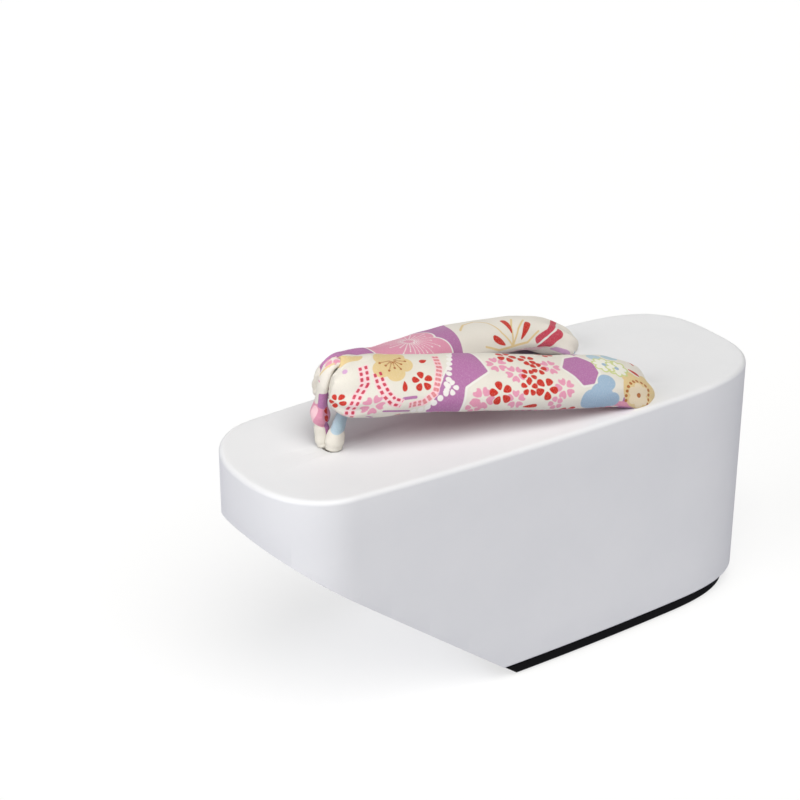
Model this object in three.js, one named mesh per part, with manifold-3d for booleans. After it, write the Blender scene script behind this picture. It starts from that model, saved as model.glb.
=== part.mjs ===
// A geta sandal of the tall kind: a lacquered wooden block, cut away on a slant under the toes,
// on a rubber sole, with a padded cloth strap and a toe loop.
// Millimetres, +Z up, toe towards -Y, heel towards +Y, standing on the floor at Z = 0.

import * as THREE from "three";
import { mergeVertices } from "three/addons/utils/BufferGeometryUtils.js";
import Module from "manifold-3d";

const wasm = await Module();
wasm.setup();

// Block and sole
const LENGTH = 230;
const WIDTH = 82.7;
const HEIGHT = 101.5;
const SIDE_BOW = { depth: 4.7, widestY: 9.5 };
const TOE_END = { depth: 27.4, power: 2.25 };
const HEEL_END = { depth: 51.2, power: 3.04 };
const TOP_ROUND = 2;
const BOTTOM_ROUND = 1;
const ROUND_STEPS = 4;
const OUTLINE_STEPS = 56;
const END_STEPS = 60;
const SIDE_STEPS = 20;
const SLANT = { startY: -13.7, rise: 0.771 };
const SOLE_THICKNESS = 6;
const BLOCK_INSET = { side: 0, heel: 0 };
const SOLE_INSET = { side: 1.4, heel: 4.4 };
const SOLE_ROUND = 0.6;

// Clearance between pieces that meet
const GAP = 0.3;

// Angles of the strap's section run from its inner edge over the padded crown, so 270 is underneath.
// Strap: the middle line of the +X arm from its nose to its rear end, with the band's size and lean there.
// rise is the height over the block's top, lean turns the padded face up from sideways, in degrees.
const STRAP_ROWS = [
  { x: 3.1, y: -77.2, rise: 26, width: 20, thickness: 10, lean: 22 },
  { x: 6.6, y: -62, rise: 24.6, width: 24.5, thickness: 13, lean: 46 },
  { x: 9.2, y: -46, rise: 22, width: 26, thickness: 14, lean: 67 },
  { x: 16, y: -20, rise: 18.2, width: 27, thickness: 14.5, lean: 74 },
  { x: 22.5, y: 7, rise: 13.5, width: 27, thickness: 14.5, lean: 75 },
  { x: 26.3, y: 36, rise: 7.4, width: 25, thickness: 14, lean: 73 },
  { x: 24, y: 56.3, rise: -4.3, width: 26.2, thickness: 12.5, lean: 58 },
];
const STRAP_WALL = 2;
const CROWN_SHARE = 0.6;
const SECTION_POWER = 2.3;
const SECTION_STEPS = 26;
const HOLLOW_STEPS = 18;
const UNDER_STEPS = 6;
const NOSE_ROUND = 9;
const REAR_ROUND = 11.5;
const END_RINGS = 6;
const BODY_RINGS = 16;
const FIRST_RING_ANGLE = 0.12;

// Hollow of the strap and the panel that closes it underneath
const HOLLOW_FRONT = 5;
const HOLLOW_REAR = 22;
const OPEN_HALF_ANGLE = 62;
const PANEL_EDGE_ANGLE = 3;
const PANEL_THICKNESS = 1.6;
const UNDER_REACH = 1.6;

// Rear ends of the strap where they go down into the block
const REAR_HOLE = { x: 25, y: 50, radius: 5.2, depth: 16 };
const TAIL = { radius: 4.9, depth: 14, reach: 4 };
const ROUND_SEGMENTS = 24;

// Toe loop: its middle line from the front leg over the joint of the arms to the rear leg
const LOOP_ROWS = [
  { x: -2, y: -75.8, rise: -12, wide: 1.8, thick: 1.8 },
  { x: -2, y: -75.8, rise: -1, wide: 1.8, thick: 1.8 },
  { x: -3, y: -76.6, rise: 3.8, wide: 2.9, thick: 2.8 },
  { x: -3.4, y: -77.4, rise: 12.5, wide: 3.1, thick: 2.7 },
  { x: -1.6, y: -77.9, rise: 20, wide: 2.7, thick: 2.2 },
  { x: 0, y: -77.6, rise: 27.5, wide: 2.6, thick: 1.9 },
  { x: 0, y: -74.6, rise: 33.6, wide: 2.8, thick: 1.8 },
  { x: 0, y: -69.6, rise: 34, wide: 2.8, thick: 1.8 },
  { x: 0, y: -66.2, rise: 29.5, wide: 2.6, thick: 1.8 },
  { x: 0.4, y: -66.4, rise: 20, wide: 2.4, thick: 2 },
  { x: 2, y: -72, rise: 11.5, wide: 2.3, thick: 2.3 },
  { x: 2.3, y: -74.6, rise: 4.4, wide: 3.5, thick: 3.5 },
  { x: 2, y: -75, rise: -1, wide: 1.8, thick: 1.8 },
  { x: 2, y: -75, rise: -12, wide: 1.8, thick: 1.8 },
];
const LOOP_RINGS = 44;
const LOOP_SECTION_STEPS = 14;
const TOE_HOLE = { x: 0, y: -75.4, radius: 4.6, depth: 15 };

// Larger than anything in the part, for the solids that cut
const CUTTER = 400;

const COLOURS = {
  lacquer: { color: 0xe8e8ea, roughness: 0.35, metalness: 0 },
  rubber: { color: 0x0c0c0e, roughness: 0.8, metalness: 0 },
  cloth: { color: 0xd9b4d2, roughness: 0.9, metalness: 0 },
  lining: { color: 0xe2bec4, roughness: 0.95, metalness: 0 },
};

// Solids and meshes

// Values from one to the other in equal steps, with both ends.
function evenSteps(from, to, steps) {
  return Array.from({ length: steps + 1 }, (_, i) => from + ((to - from) * i) / steps);
}

function toSolid(geometry) {
  const bare = geometry.clone();
  bare.deleteAttribute("normal");
  bare.deleteAttribute("uv");
  const merged = mergeVertices(bare);
  return new wasm.Manifold(new wasm.Mesh({
    numProp: 3,
    vertProperties: Float32Array.from(merged.attributes.position.array),
    triVerts: Uint32Array.from(merged.index.array),
  }));
}

function toGeometry(solid) {
  const mesh = solid.getMesh();
  const geometry = new THREE.BufferGeometry();
  geometry.setAttribute("position", new THREE.Float32BufferAttribute(mesh.vertProperties, 3));
  geometry.setIndex(Array.from(mesh.triVerts));
  const flat = geometry.toNonIndexed();
  flat.computeVertexNormals();
  return flat;
}

// A closed solid through rings of equally many points, with a fan over its first and last ring.
function loft(rings) {
  const count = rings[0].length;
  const centre = (ring) => ring.reduce((sum, p) => sum.add(p), new THREE.Vector3()).divideScalar(count);
  const points = [...rings.flat(), centre(rings[0]), centre(rings.at(-1))];
  const firstCentre = rings.length * count;
  const triangles = [];
  for (let i = 0; i < count; i += 1) {
    const next = (i + 1) % count;
    const lastRing = (rings.length - 1) * count;
    triangles.push(firstCentre, next, i);
    triangles.push(firstCentre + 1, lastRing + i, lastRing + next);
    for (let k = 0; k + 1 < rings.length; k += 1) {
      const low = k * count;
      const high = low + count;
      triangles.push(low + i, low + next, high + next);
      triangles.push(low + i, high + next, high + i);
    }
  }
  const geometry = new THREE.BufferGeometry();
  geometry.setFromPoints(points);
  geometry.setIndex(triangles);
  return toSolid(geometry);
}

function box(minimum, maximum) {
  const size = new THREE.Vector3().subVectors(maximum, minimum);
  const middle = new THREE.Vector3().addVectors(minimum, maximum).multiplyScalar(0.5);
  return toSolid(new THREE.BoxGeometry(size.x, size.y, size.z).translate(middle.x, middle.y, middle.z));
}

function upright(place, radius, bottom, top) {
  const cylinder = new THREE.CylinderGeometry(radius, radius, top - bottom, ROUND_SEGMENTS);
  cylinder.rotateX(Math.PI / 2).translate(place.x, place.y, (bottom + top) / 2);
  return toSolid(cylinder);
}

function mirrored(solid) {
  return solid.mirror([1, 0, 0]);
}

// The half space on the +X side of the given distance
function besideMiddle(distance) {
  return box(new THREE.Vector3(distance, -CUTTER, -CUTTER), new THREE.Vector3(CUTTER, CUTTER, CUTTER));
}

function above(height) {
  return box(new THREE.Vector3(-CUTTER, -CUTTER, height), new THREE.Vector3(CUTTER, CUTTER, CUTTER));
}

// Block and sole

// Half the block's width at a place along it, between its ends: the sides bow out a little.
function halfWidth(y) {
  return WIDTH / 2 - SIDE_BOW.depth * ((y - SIDE_BOW.widestY) / (LENGTH / 2)) ** 2;
}

// A quarter of a rounded end: shares of the half width from 0 to 1, with the distance in from the end's tip.
function endQuarter(end) {
  return Array.from({ length: END_STEPS + 1 }, (_, i) => {
    const angle = (i / END_STEPS) * (Math.PI / 2);
    const across = Math.sin(angle) ** (2 / end.power);
    const inward = end.depth * (1 - Math.cos(angle) ** (2 / end.power));
    return new THREE.Vector2(across, inward);
  });
}

// The outline seen from above, evenly spaced along each side, with the way out at each point.
function outline() {
  const toe = endQuarter(TOE_END).map((p) => new THREE.Vector2(p.x, p.y - LENGTH / 2));
  const heel = endQuarter(HEEL_END).map((p) => new THREE.Vector2(p.x, LENGTH / 2 - p.y)).reverse();
  const middle = evenSteps(toe.at(-1).y, heel[0].y, SIDE_STEPS).slice(1, -1);
  const shares = [...toe, ...middle.map((y) => new THREE.Vector2(1, y)), ...heel];
  const corners = shares.map((p) => new THREE.Vector2(p.x * halfWidth(p.y), p.y));
  const path = new THREE.CurvePath();
  for (let i = 0; i + 1 < corners.length; i += 1) {
    path.add(new THREE.LineCurve(corners[i], corners[i + 1]));
  }
  const side = path.getSpacedPoints(OUTLINE_STEPS);
  const otherSide = side.slice(1, -1).reverse().map((p) => new THREE.Vector2(-p.x, p.y));
  const points = [...side, ...otherSide];
  return points.map((point, i) => {
    const before = points.at(i - 1);
    const after = points[(i + 1) % points.length];
    const along = new THREE.Vector2().subVectors(after, before).normalize();
    return { point, out: new THREE.Vector2(along.y, -along.x) };
  });
}

const OUTLINE = outline();

// The outline at a height, drawn in by an inset for its sides and heel, and by more all round.
function outlineRing(height, inset, more) {
  return OUTLINE.map(({ point, out }) => {
    const drawnIn = THREE.MathUtils.lerp(inset.side, inset.heel, Math.max(0, out.y)) + more;
    return new THREE.Vector3(point.x, point.y, height)
      .addScaledVector(new THREE.Vector3(out.x, out.y, 0), -drawnIn);
  });
}

// A slab of the block's outline with rounded edges.
function slab(bottom, top, inset, bottomRound, topRound) {
  const angles = evenSteps(0, Math.PI / 2, ROUND_STEPS);
  const corner = (angle, round, edge, way) => outlineRing(
    edge + way * round * (1 - Math.cos(angle)), inset, round * (1 - Math.sin(angle)),
  );
  const rings = [
    ...angles.map((angle) => corner(angle, bottomRound, bottom, 1)),
    ...angles.reverse().map((angle) => corner(angle, topRound, top, -1)),
  ];
  return loft(rings);
}

// Everything under the slanted plane that cuts the toe away
function slantCutter() {
  const cutter = new THREE.BoxGeometry(CUTTER, CUTTER, CUTTER);
  cutter.translate(0, -CUTTER / 2, -CUTTER / 2);
  cutter.rotateX(-Math.atan(SLANT.rise)).translate(0, SLANT.startY, 0);
  return toSolid(cutter);
}

function hole(place) {
  return upright(place, place.radius, HEIGHT - place.depth, HEIGHT + GAP);
}

function makeBlock() {
  const holes = [hole(TOE_HOLE), hole(REAR_HOLE), mirrored(hole(REAR_HOLE))];
  const body = slab(SOLE_THICKNESS, HEIGHT, BLOCK_INSET, BOTTOM_ROUND, TOP_ROUND).subtract(slantCutter());
  return holes.reduce((solid, cut) => solid.subtract(cut), body);
}

function makeSole() {
  return slab(0, SOLE_THICKNESS - GAP, SOLE_INSET, SOLE_ROUND, SOLE_ROUND).subtract(slantCutter());
}

// Strap

const strapLine = new THREE.CatmullRomCurve3(
  STRAP_ROWS.map((row) => new THREE.Vector3(row.x, row.y, HEIGHT + row.rise)), false, "catmullrom",
);
const strapSizes = new THREE.CatmullRomCurve3(
  STRAP_ROWS.map((row) => new THREE.Vector3(row.width, row.thickness, row.lean)), false, "catmullrom",
);
const STRAP_LENGTH = strapLine.getLength();

// The middle, the two directions of the section and its size, at a distance along the arm.
function strapStation(distance) {
  const t = strapLine.getUtoTmapping(distance / STRAP_LENGTH);
  const size = strapSizes.getPoint(t);
  const along = strapLine.getTangent(t);
  const sideways = new THREE.Vector3(along.y, -along.x, 0).normalize();
  const upward = new THREE.Vector3().crossVectors(sideways, along);
  const lean = THREE.MathUtils.degToRad(size.z);
  const crown = sideways.multiplyScalar(Math.cos(lean)).addScaledVector(upward, Math.sin(lean));
  const across = new THREE.Vector3().crossVectors(crown, along);
  return { middle: strapLine.getPoint(t), across, crown, width: size.x, thickness: size.y };
}

// How much of its full size the arm has at a distance, with both ends rounded off.
function endShare(distance) {
  const left = STRAP_LENGTH - distance;
  const nose = distance < NOSE_ROUND ? 1 - distance / NOSE_ROUND : 0;
  const rear = left < REAR_ROUND ? 1 - left / REAR_ROUND : 0;
  return Math.sqrt(1 - nose ** 2) * Math.sqrt(1 - rear ** 2);
}

// A point of the section: degrees run from the inner edge over the crown, and inset draws it in.
function sectionPoint(station, share, degrees, inset) {
  const angle = THREE.MathUtils.degToRad(degrees);
  const bend = (value) => Math.sign(value) * Math.abs(value) ** (2 / SECTION_POWER);
  const rise = bend(Math.sin(angle));
  const depth = station.thickness * (rise > 0 ? CROWN_SHARE : 1 - CROWN_SHARE);
  return station.middle.clone()
    .addScaledVector(station.across, ((station.width / 2) * share - inset) * bend(Math.cos(angle)))
    .addScaledVector(station.crown, (depth * share - inset) * rise);
}

// Distances of the arm's rings: close together at its rounded ends.
function armDistances() {
  const turn = (i) => FIRST_RING_ANGLE + ((Math.PI / 2 - FIRST_RING_ANGLE) * i) / END_RINGS;
  const nose = Array.from({ length: END_RINGS }, (_, i) => NOSE_ROUND * (1 - Math.cos(turn(i))));
  const rear = nose.map((distance) => STRAP_LENGTH - (distance * REAR_ROUND) / NOSE_ROUND).reverse();
  return [...nose, ...evenSteps(NOSE_ROUND, STRAP_LENGTH - REAR_ROUND, BODY_RINGS), ...rear];
}

// Distances of the hollow's rings, drawn in at both ends by a clearance.
function hollowDistances(clearance) {
  return evenSteps(HOLLOW_FRONT + clearance, STRAP_LENGTH - HOLLOW_REAR - clearance, BODY_RINGS);
}

// The padded arm on the +X side, as if it were solid.
function armBody() {
  const angles = evenSteps(0, 360, SECTION_STEPS).slice(0, -1);
  return loft(armDistances().map((distance) => {
    const station = strapStation(distance);
    return angles.map((angle) => sectionPoint(station, endShare(distance), angle, 0));
  }));
}

// The room inside the arm, running out through its underside.
function armHollow() {
  const inside = evenSteps(270 + OPEN_HALF_ANGLE, 630 - OPEN_HALF_ANGLE, HOLLOW_STEPS);
  const underside = evenSteps(270 - OPEN_HALF_ANGLE, 270 + OPEN_HALF_ANGLE, UNDER_STEPS);
  return loft(hollowDistances(0).map((distance) => {
    const station = strapStation(distance);
    const share = endShare(distance);
    return [
      ...inside.map((angle) => sectionPoint(station, share, angle, STRAP_WALL)),
      ...underside.map((angle) => sectionPoint(station, share, angle, -UNDER_REACH)),
    ];
  }));
}

// The panel in the open underside of the arm.
function armPanel() {
  const edge = OPEN_HALF_ANGLE - PANEL_EDGE_ANGLE;
  const angles = evenSteps(270 - edge, 270 + edge, UNDER_STEPS);
  return loft(hollowDistances(GAP).map((distance) => {
    const station = strapStation(distance);
    const share = endShare(distance);
    const outer = angles.map((angle) => sectionPoint(station, share, angle, 0));
    const inner = angles.map((angle) => sectionPoint(station, share, angle, PANEL_THICKNESS)).reverse();
    return [...outer, ...inner];
  }));
}

// Toe loop

const loopLine = new THREE.CatmullRomCurve3(
  LOOP_ROWS.map((row) => new THREE.Vector3(row.x, row.y, HEIGHT + row.rise)), false, "catmullrom",
);
const loopSizes = new THREE.CatmullRomCurve3(
  LOOP_ROWS.map((row) => new THREE.Vector3(row.wide, row.thick, 0)), false, "catmullrom",
);

// The loop's cord of cloth, made larger all round by grow.
function loopBody(grow) {
  const angles = evenSteps(0, 2 * Math.PI, LOOP_SECTION_STEPS).slice(0, -1);
  return loft(evenSteps(0, 1, LOOP_RINGS).map((share) => {
    const t = loopLine.getUtoTmapping(share);
    const middle = loopLine.getPoint(t);
    const size = loopSizes.getPoint(t);
    const along = loopLine.getTangent(t);
    const across = new THREE.Vector3(1, 0, 0).addScaledVector(along, -along.x).normalize();
    const outward = new THREE.Vector3().crossVectors(along, across);
    return angles.map((angle) => middle.clone()
      .addScaledVector(across, (size.x + grow) * Math.cos(angle))
      .addScaledVector(outward, (size.y + grow) * Math.sin(angle)));
  }));
}

function makeStrap() {
  const wallRoom = loopBody(GAP + STRAP_WALL);
  const arm = armBody().intersect(besideMiddle(-GAP / 2)).intersect(above(HEIGHT + GAP));
  const hollow = armHollow().intersect(besideMiddle(STRAP_WALL / 2)).subtract(wallRoom);
  const tail = upright(REAR_HOLE, TAIL.radius, HEIGHT - TAIL.depth, HEIGHT + TAIL.reach);
  const half = arm.add(tail).subtract(hollow);
  return half.add(mirrored(half)).subtract(loopBody(GAP));
}

function makePanel() {
  return armPanel()
    .intersect(besideMiddle(STRAP_WALL / 2 + GAP))
    .intersect(above(HEIGHT + GAP))
    .subtract(loopBody(2 * GAP + STRAP_WALL));
}

// The part

const part = new THREE.Group();

function addPiece(name, solid, finish) {
  const mesh = new THREE.Mesh(toGeometry(solid), new THREE.MeshStandardMaterial(finish));
  mesh.name = name;
  part.add(mesh);
}

const panel = makePanel();
addPiece("block", makeBlock(), COLOURS.lacquer);
addPiece("sole", makeSole(), COLOURS.rubber);
addPiece("strap", makeStrap(), COLOURS.cloth);
addPiece("strap_under_left", panel, COLOURS.lining);
addPiece("strap_under_right", mirrored(panel), COLOURS.lining);
addPiece("toe_loop", loopBody(0), COLOURS.cloth);

export default part;
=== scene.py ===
"""Looks of a tall geta sandal: lacquered block, rubber sole, padded printed strap and toe loop."""

import logging
import math
from dataclasses import dataclass
from enum import Enum
from typing import Callable, Iterable, Sequence

import bmesh
import bpy
import numpy as np
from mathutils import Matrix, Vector


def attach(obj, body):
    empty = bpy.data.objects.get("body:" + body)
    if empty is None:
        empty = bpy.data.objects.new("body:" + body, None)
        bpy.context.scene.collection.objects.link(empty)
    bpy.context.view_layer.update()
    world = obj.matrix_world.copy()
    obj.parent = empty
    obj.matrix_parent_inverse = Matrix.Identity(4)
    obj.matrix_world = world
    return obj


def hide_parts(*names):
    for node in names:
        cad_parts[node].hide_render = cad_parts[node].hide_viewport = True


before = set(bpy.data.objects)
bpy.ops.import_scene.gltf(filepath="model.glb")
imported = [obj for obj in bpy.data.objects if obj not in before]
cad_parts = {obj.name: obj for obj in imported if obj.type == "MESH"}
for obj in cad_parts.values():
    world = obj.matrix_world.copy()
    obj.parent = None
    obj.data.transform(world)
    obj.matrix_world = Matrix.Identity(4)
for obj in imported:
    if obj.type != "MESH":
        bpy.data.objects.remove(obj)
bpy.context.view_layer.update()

LOG = logging.getLogger("geta")
MM = 0.001
BODY = "root"
# Height of the block's top over the floor, in millimetres
BLOCK_TOP = 101.5

Colour = tuple[float, float, float, float]
Corners = tuple[tuple[float, float], ...]
Pair = tuple[float, float]
Material = bpy.types.Material
Mesh = bpy.types.Mesh
Node = bpy.types.Node
Piece = bpy.types.Object
Socket = bpy.types.NodeSocket
Tree = bpy.types.NodeTree


def linear(red: int, green: int, blue: int) -> Colour:
    """Turn a colour as seen on a screen into the renderer's linear values.

    Args:
        red, green, blue: screen values from 0 to 255.

    Returns:
        Linear red, green, blue and an alpha of 1.
    """
    def one(value: int) -> float:
        """Convert one channel."""
        share = value / 255
        return share / 12.92 if share <= 0.04045 else ((share + 0.055) / 1.055) ** 2.4

    return (one(red), one(green), one(blue), 1.0)


# Curves and sections


def spline(rows: np.ndarray, where: np.ndarray) -> np.ndarray:
    """Read a smooth curve through table rows.

    Args:
        rows: one row for each section, any number of columns.
        where: places along the table from 0 to 1.

    Returns:
        One row of columns for each place.
    """
    padded = np.vstack([2 * rows[0] - rows[1], rows, 2 * rows[-1] - rows[-2]])
    scaled = np.clip(where, 0, 1) * (len(rows) - 1)
    index = np.minimum(scaled.astype(int), len(rows) - 2)
    share = (scaled - index)[:, None]
    before, start, end, after = (padded[index + step] for step in range(4))
    leave = (end - before) / 2
    arrive = (after - start) / 2
    return (
        (2 * share**3 - 3 * share**2 + 1) * start
        + (share**3 - 2 * share**2 + share) * leave
        + (3 * share**2 - 2 * share**3) * end
        + (share**3 - share**2) * arrive
    )


def unit(vectors: np.ndarray) -> np.ndarray:
    """Scale each row to a length of 1."""
    return vectors / np.linalg.norm(vectors, axis=-1, keepdims=True)


def travelled(points: np.ndarray) -> np.ndarray:
    """Distance of each point from the first, along the line through them."""
    steps = np.linalg.norm(np.diff(points, axis=0), axis=1)
    return np.concatenate([[0], np.cumsum(steps)])


def smooth_step(low: float, high: float, values: np.ndarray) -> np.ndarray:
    """Ease from 0 at low to 1 at high."""
    share = np.clip((values - low) / (high - low), 0, 1)
    return share * share * (3 - 2 * share)


@dataclass
class Line3D:
    """A smooth line in space with further columns of sizes along it."""

    rows: np.ndarray
    samples: int = 3000

    def __post_init__(self) -> None:
        """Sample the line once."""
        self.columns = spline(self.rows, np.linspace(0, 1, self.samples))
        points = self.columns[:, :3]
        self.distance = travelled(points)
        self.tangent = unit(np.gradient(points, axis=0))

    @property
    def length(self) -> float:
        """Length of the line."""
        return float(self.distance[-1])

    def at(self, where: np.ndarray) -> tuple[np.ndarray, np.ndarray, np.ndarray]:
        """Read the line at distances from its start.

        Args:
            where: distances.

        Returns:
            Points, directions and the further columns.
        """
        def read(table: np.ndarray) -> np.ndarray:
            """Interpolate each column."""
            return np.stack([np.interp(where, self.distance, column) for column in table.T], -1)

        values = read(self.columns)
        return values[:, :3], unit(read(self.tangent)), values[:, 3:]


# Meshes


def new_object(name: str, mesh: Mesh) -> Piece:
    """Put a mesh into the scene.

    Args:
        name: the piece's name.
        mesh: its mesh.

    Returns:
        The piece.
    """
    piece = bpy.data.objects.new(name, mesh)
    bpy.context.scene.collection.objects.link(piece)
    return piece


def skin(name: str, points: np.ndarray, ring: bool, ends: bool) -> Mesh:
    """Make a mesh from a grid of points in millimetres.

    Args:
        name: the mesh's name.
        points: rows of rings, each a row of points.
        ring: whether each row closes on itself.
        ends: whether the first and last rows get a fan.

    Returns:
        The mesh, in metres.
    """
    rows, columns = points.shape[:2]
    vertices = points.reshape(-1, 3)
    index = np.arange(rows * columns).reshape(rows, columns)
    if ring:
        index = np.hstack([index, index[:, :1]])
    quads = np.stack([index[:-1, :-1], index[:-1, 1:], index[1:, 1:], index[1:, :-1]], -1).reshape(-1, 4)
    faces = quads.tolist()
    if ends:
        first = len(vertices)
        vertices = np.vstack([vertices, points[0].mean(0), points[-1].mean(0)])
        faces += [[first, int(b), int(a)] for a, b in zip(index[0, :-1], index[0, 1:])]
        faces += [[first + 1, int(a), int(b)] for a, b in zip(index[-1, :-1], index[-1, 1:])]
    mesh = bpy.data.meshes.new(name)
    mesh.from_pydata((vertices * MM).tolist(), [], faces)
    mesh.update()
    return mesh


def store(mesh: Mesh, name: str, values: np.ndarray) -> None:
    """Keep one number for each point of a mesh."""
    layer = mesh.attributes.new(name, "FLOAT", "POINT")
    layer.data.foreach_set("value", np.asarray(values, np.float32).ravel())


def edit(mesh: Mesh, work: Callable[[bmesh.types.BMesh], None]) -> None:
    """Run an edit on a mesh and write it back.

    Args:
        mesh: the mesh.
        work: what is done to its editable copy.
    """
    body = bmesh.new()
    body.from_mesh(mesh)
    work(body)
    body.to_mesh(mesh)
    body.free()
    mesh.update()


def cut(body: bmesh.types.BMesh, place: Vector, away: Vector, fill: bool) -> None:
    """Cut a mesh by a plane and drop what lies on its far side.

    Args:
        body: the mesh being edited.
        place: a point of the plane, in metres.
        away: the way to the dropped side.
        fill: whether the cut is closed with a face.
    """
    everything = body.verts[:] + body.edges[:] + body.faces[:]
    result = bmesh.ops.bisect_plane(
        body, geom=everything, dist=1e-7, plane_co=place, plane_no=away, clear_outer=True,
    )
    if fill:
        rim = [item for item in result["geom_cut"] if isinstance(item, bmesh.types.BMEdge)]
        bmesh.ops.edgenet_fill(body, edges=rim)


def bake(piece: Piece) -> None:
    """Turn a piece's modifiers into plain mesh and remove them.

    Args:
        piece: the piece.
    """
    graph = bpy.context.evaluated_depsgraph_get()
    graph.update()
    mesh = bpy.data.meshes.new_from_object(piece.evaluated_get(graph))
    old = piece.data
    piece.modifiers.clear()
    piece.data = mesh
    if old.users == 0:
        bpy.data.meshes.remove(old)


def smooth(piece: Piece) -> None:
    """Shade every face of a piece smoothly."""
    piece.data.polygons.foreach_set("use_smooth", [True] * len(piece.data.polygons))
    piece.data.update()


def hand_over(piece: Piece, nodes: Iterable[str]) -> None:
    """Tell the frame what a piece is.

    Args:
        piece: the finished piece.
        nodes: the solids that it stands for.
    """
    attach(piece, BODY)
    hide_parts(*nodes)
    LOG.info("%s: %d faces", piece.name, len(piece.data.polygons))


# Node trees


def add_node(tree: Tree, kind: str, inputs: dict | None = None, **settings: object) -> Node:
    """Add a node, set it up and link its inputs.

    Args:
        tree: the node tree.
        kind: Blender's name for the node.
        inputs: values or output sockets by input name or number.
        settings: properties of the node.

    Returns:
        The node.
    """
    made = tree.nodes.new(kind)
    for name, value in settings.items():
        setattr(made, name, value)
    for name, value in (inputs or {}).items():
        if isinstance(value, Socket):
            tree.links.new(value, made.inputs[name])
        else:
            made.inputs[name].default_value = value
    return made


def mix(tree: Tree, factor: object, first: object, second: object) -> Socket:
    """Mix two colours and give the result's socket."""
    return add_node(tree, "ShaderNodeMix", {0: factor, 6: first, 7: second}, data_type="RGBA").outputs[2]


def maths(tree: Tree, operation: str, first: object, second: object = 0.0) -> Socket:
    """Calculate with two numbers and give the result's socket."""
    return add_node(tree, "ShaderNodeMath", {0: first, 1: second}, operation=operation).outputs[0]


class Kind(Enum):
    """Kinds of sockets that node trees have."""

    COLOUR = "NodeSocketColor"
    NUMBER = "NodeSocketFloat"
    VECTOR = "NodeSocketVector"
    GEOMETRY = "NodeSocketGeometry"
    MATERIAL = "NodeSocketMaterial"


def start_tree(
    name: str, takes: dict[str, Kind], gives: dict[str, Kind], family: str = "ShaderNodeTree",
) -> tuple[Tree, dict[str, Socket], dict[str, Socket]]:
    """Start a node tree with named inputs and outputs.

    Args:
        name: the tree's name.
        takes: input names with their kinds.
        gives: output names with their kinds.
        family: Blender's name for the kind of tree.

    Returns:
        The tree, its input sockets by name and its output sockets by name.
    """
    tree = bpy.data.node_groups.new(name, family)
    for socket, kind in takes.items():
        tree.interface.new_socket(socket, in_out="INPUT", socket_type=kind.value)
    for socket, kind in gives.items():
        tree.interface.new_socket(socket, in_out="OUTPUT", socket_type=kind.value)
    entry = tree.nodes.new("NodeGroupInput")
    leave = tree.nodes.new("NodeGroupOutput")
    return tree, {n: entry.outputs[n] for n in takes}, {n: leave.inputs[n] for n in gives}


class Groups:
    """Shader node groups that several finishes use."""

    def __init__(self) -> None:
        """Build each group once."""
        self.print_layer = self.make_print_layer()
        self.crepe = self.make_crepe()
        self.mottle = self.make_mottle()

    @staticmethod
    def make_print_layer() -> Tree:
        """One ink over what lies below it, inside the zero line of a distance.

        Returns:
            The group.
        """
        tree, takes, gives = start_tree(
            "print layer",
            {"Below": Kind.COLOUR, "Ink": Kind.COLOUR, "Distance": Kind.NUMBER, "Softness": Kind.NUMBER},
            {"Color": Kind.COLOUR},
        )
        low = maths(tree, "MULTIPLY", takes["Softness"], -1.0)
        cover = add_node(tree, "ShaderNodeMapRange", {
            "Value": takes["Distance"], "From Min": low, "From Max": takes["Softness"],
            "To Min": 1.0, "To Max": 0.0,
        }, interpolation_type="SMOOTHSTEP")
        tree.links.new(mix(tree, cover.outputs[0], takes["Below"], takes["Ink"]), gives["Color"])
        return tree

    @staticmethod
    def make_crepe() -> Tree:
        """The fine uneven crinkle of crepe cloth: a height, and a light and dark shade that the print uses to
        paint a highlight on the raised crinkles.

        Returns:
            The group.
        """
        tree, takes, gives = start_tree(
            "crepe",
            {"Vector": Kind.VECTOR, "Fineness": Kind.NUMBER},
            {"Height": Kind.NUMBER, "Shade": Kind.NUMBER},
        )
        stretched = add_node(tree, "ShaderNodeMapping", {
            "Vector": takes["Vector"], "Scale": (1.5, 0.75, 1.0),
        })
        crinkle = add_node(tree, "ShaderNodeTexNoise", {
            "Vector": stretched.outputs[0], "Scale": takes["Fineness"], "Detail": 3.0, "Roughness": 0.62,
            "Distortion": 0.5,
        })
        threads = add_node(tree, "ShaderNodeTexVoronoi", {
            "Vector": stretched.outputs[0], "Scale": maths(tree, "MULTIPLY", takes["Fineness"], 1.7),
        }, distance="MANHATTAN")
        grain = maths(tree, "MULTIPLY", threads.outputs["Distance"], 0.35)
        height = maths(tree, "ADD", crinkle.outputs[0], grain)
        tree.links.new(height, gives["Height"])
        tree.links.new(crinkle.outputs[0], gives["Shade"])
        return tree

    @staticmethod
    def make_mottle() -> Tree:
        """Slow uneven lightness over a surface, with a mask for roughness.

        Returns:
            The group.
        """
        tree, takes, gives = start_tree(
            "mottle",
            {
                "Color": Kind.COLOUR, "Dark": Kind.COLOUR, "Vector": Kind.VECTOR, "Scale": Kind.NUMBER,
                "Amount": Kind.NUMBER,
            },
            {"Color": Kind.COLOUR, "Mask": Kind.NUMBER},
        )
        cloud = add_node(tree, "ShaderNodeTexNoise", {
            "Vector": takes["Vector"], "Scale": takes["Scale"], "Detail": 5.0, "Roughness": 0.6,
        })
        spread = add_node(tree, "ShaderNodeMapRange", {
            "Value": cloud.outputs[0], "From Min": 0.35, "From Max": 0.7,
        })
        amount = maths(tree, "MULTIPLY", spread.outputs[0], takes["Amount"])
        tree.links.new(mix(tree, amount, takes["Color"], takes["Dark"]), gives["Color"])
        tree.links.new(spread.outputs[0], gives["Mask"])
        return tree


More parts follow.
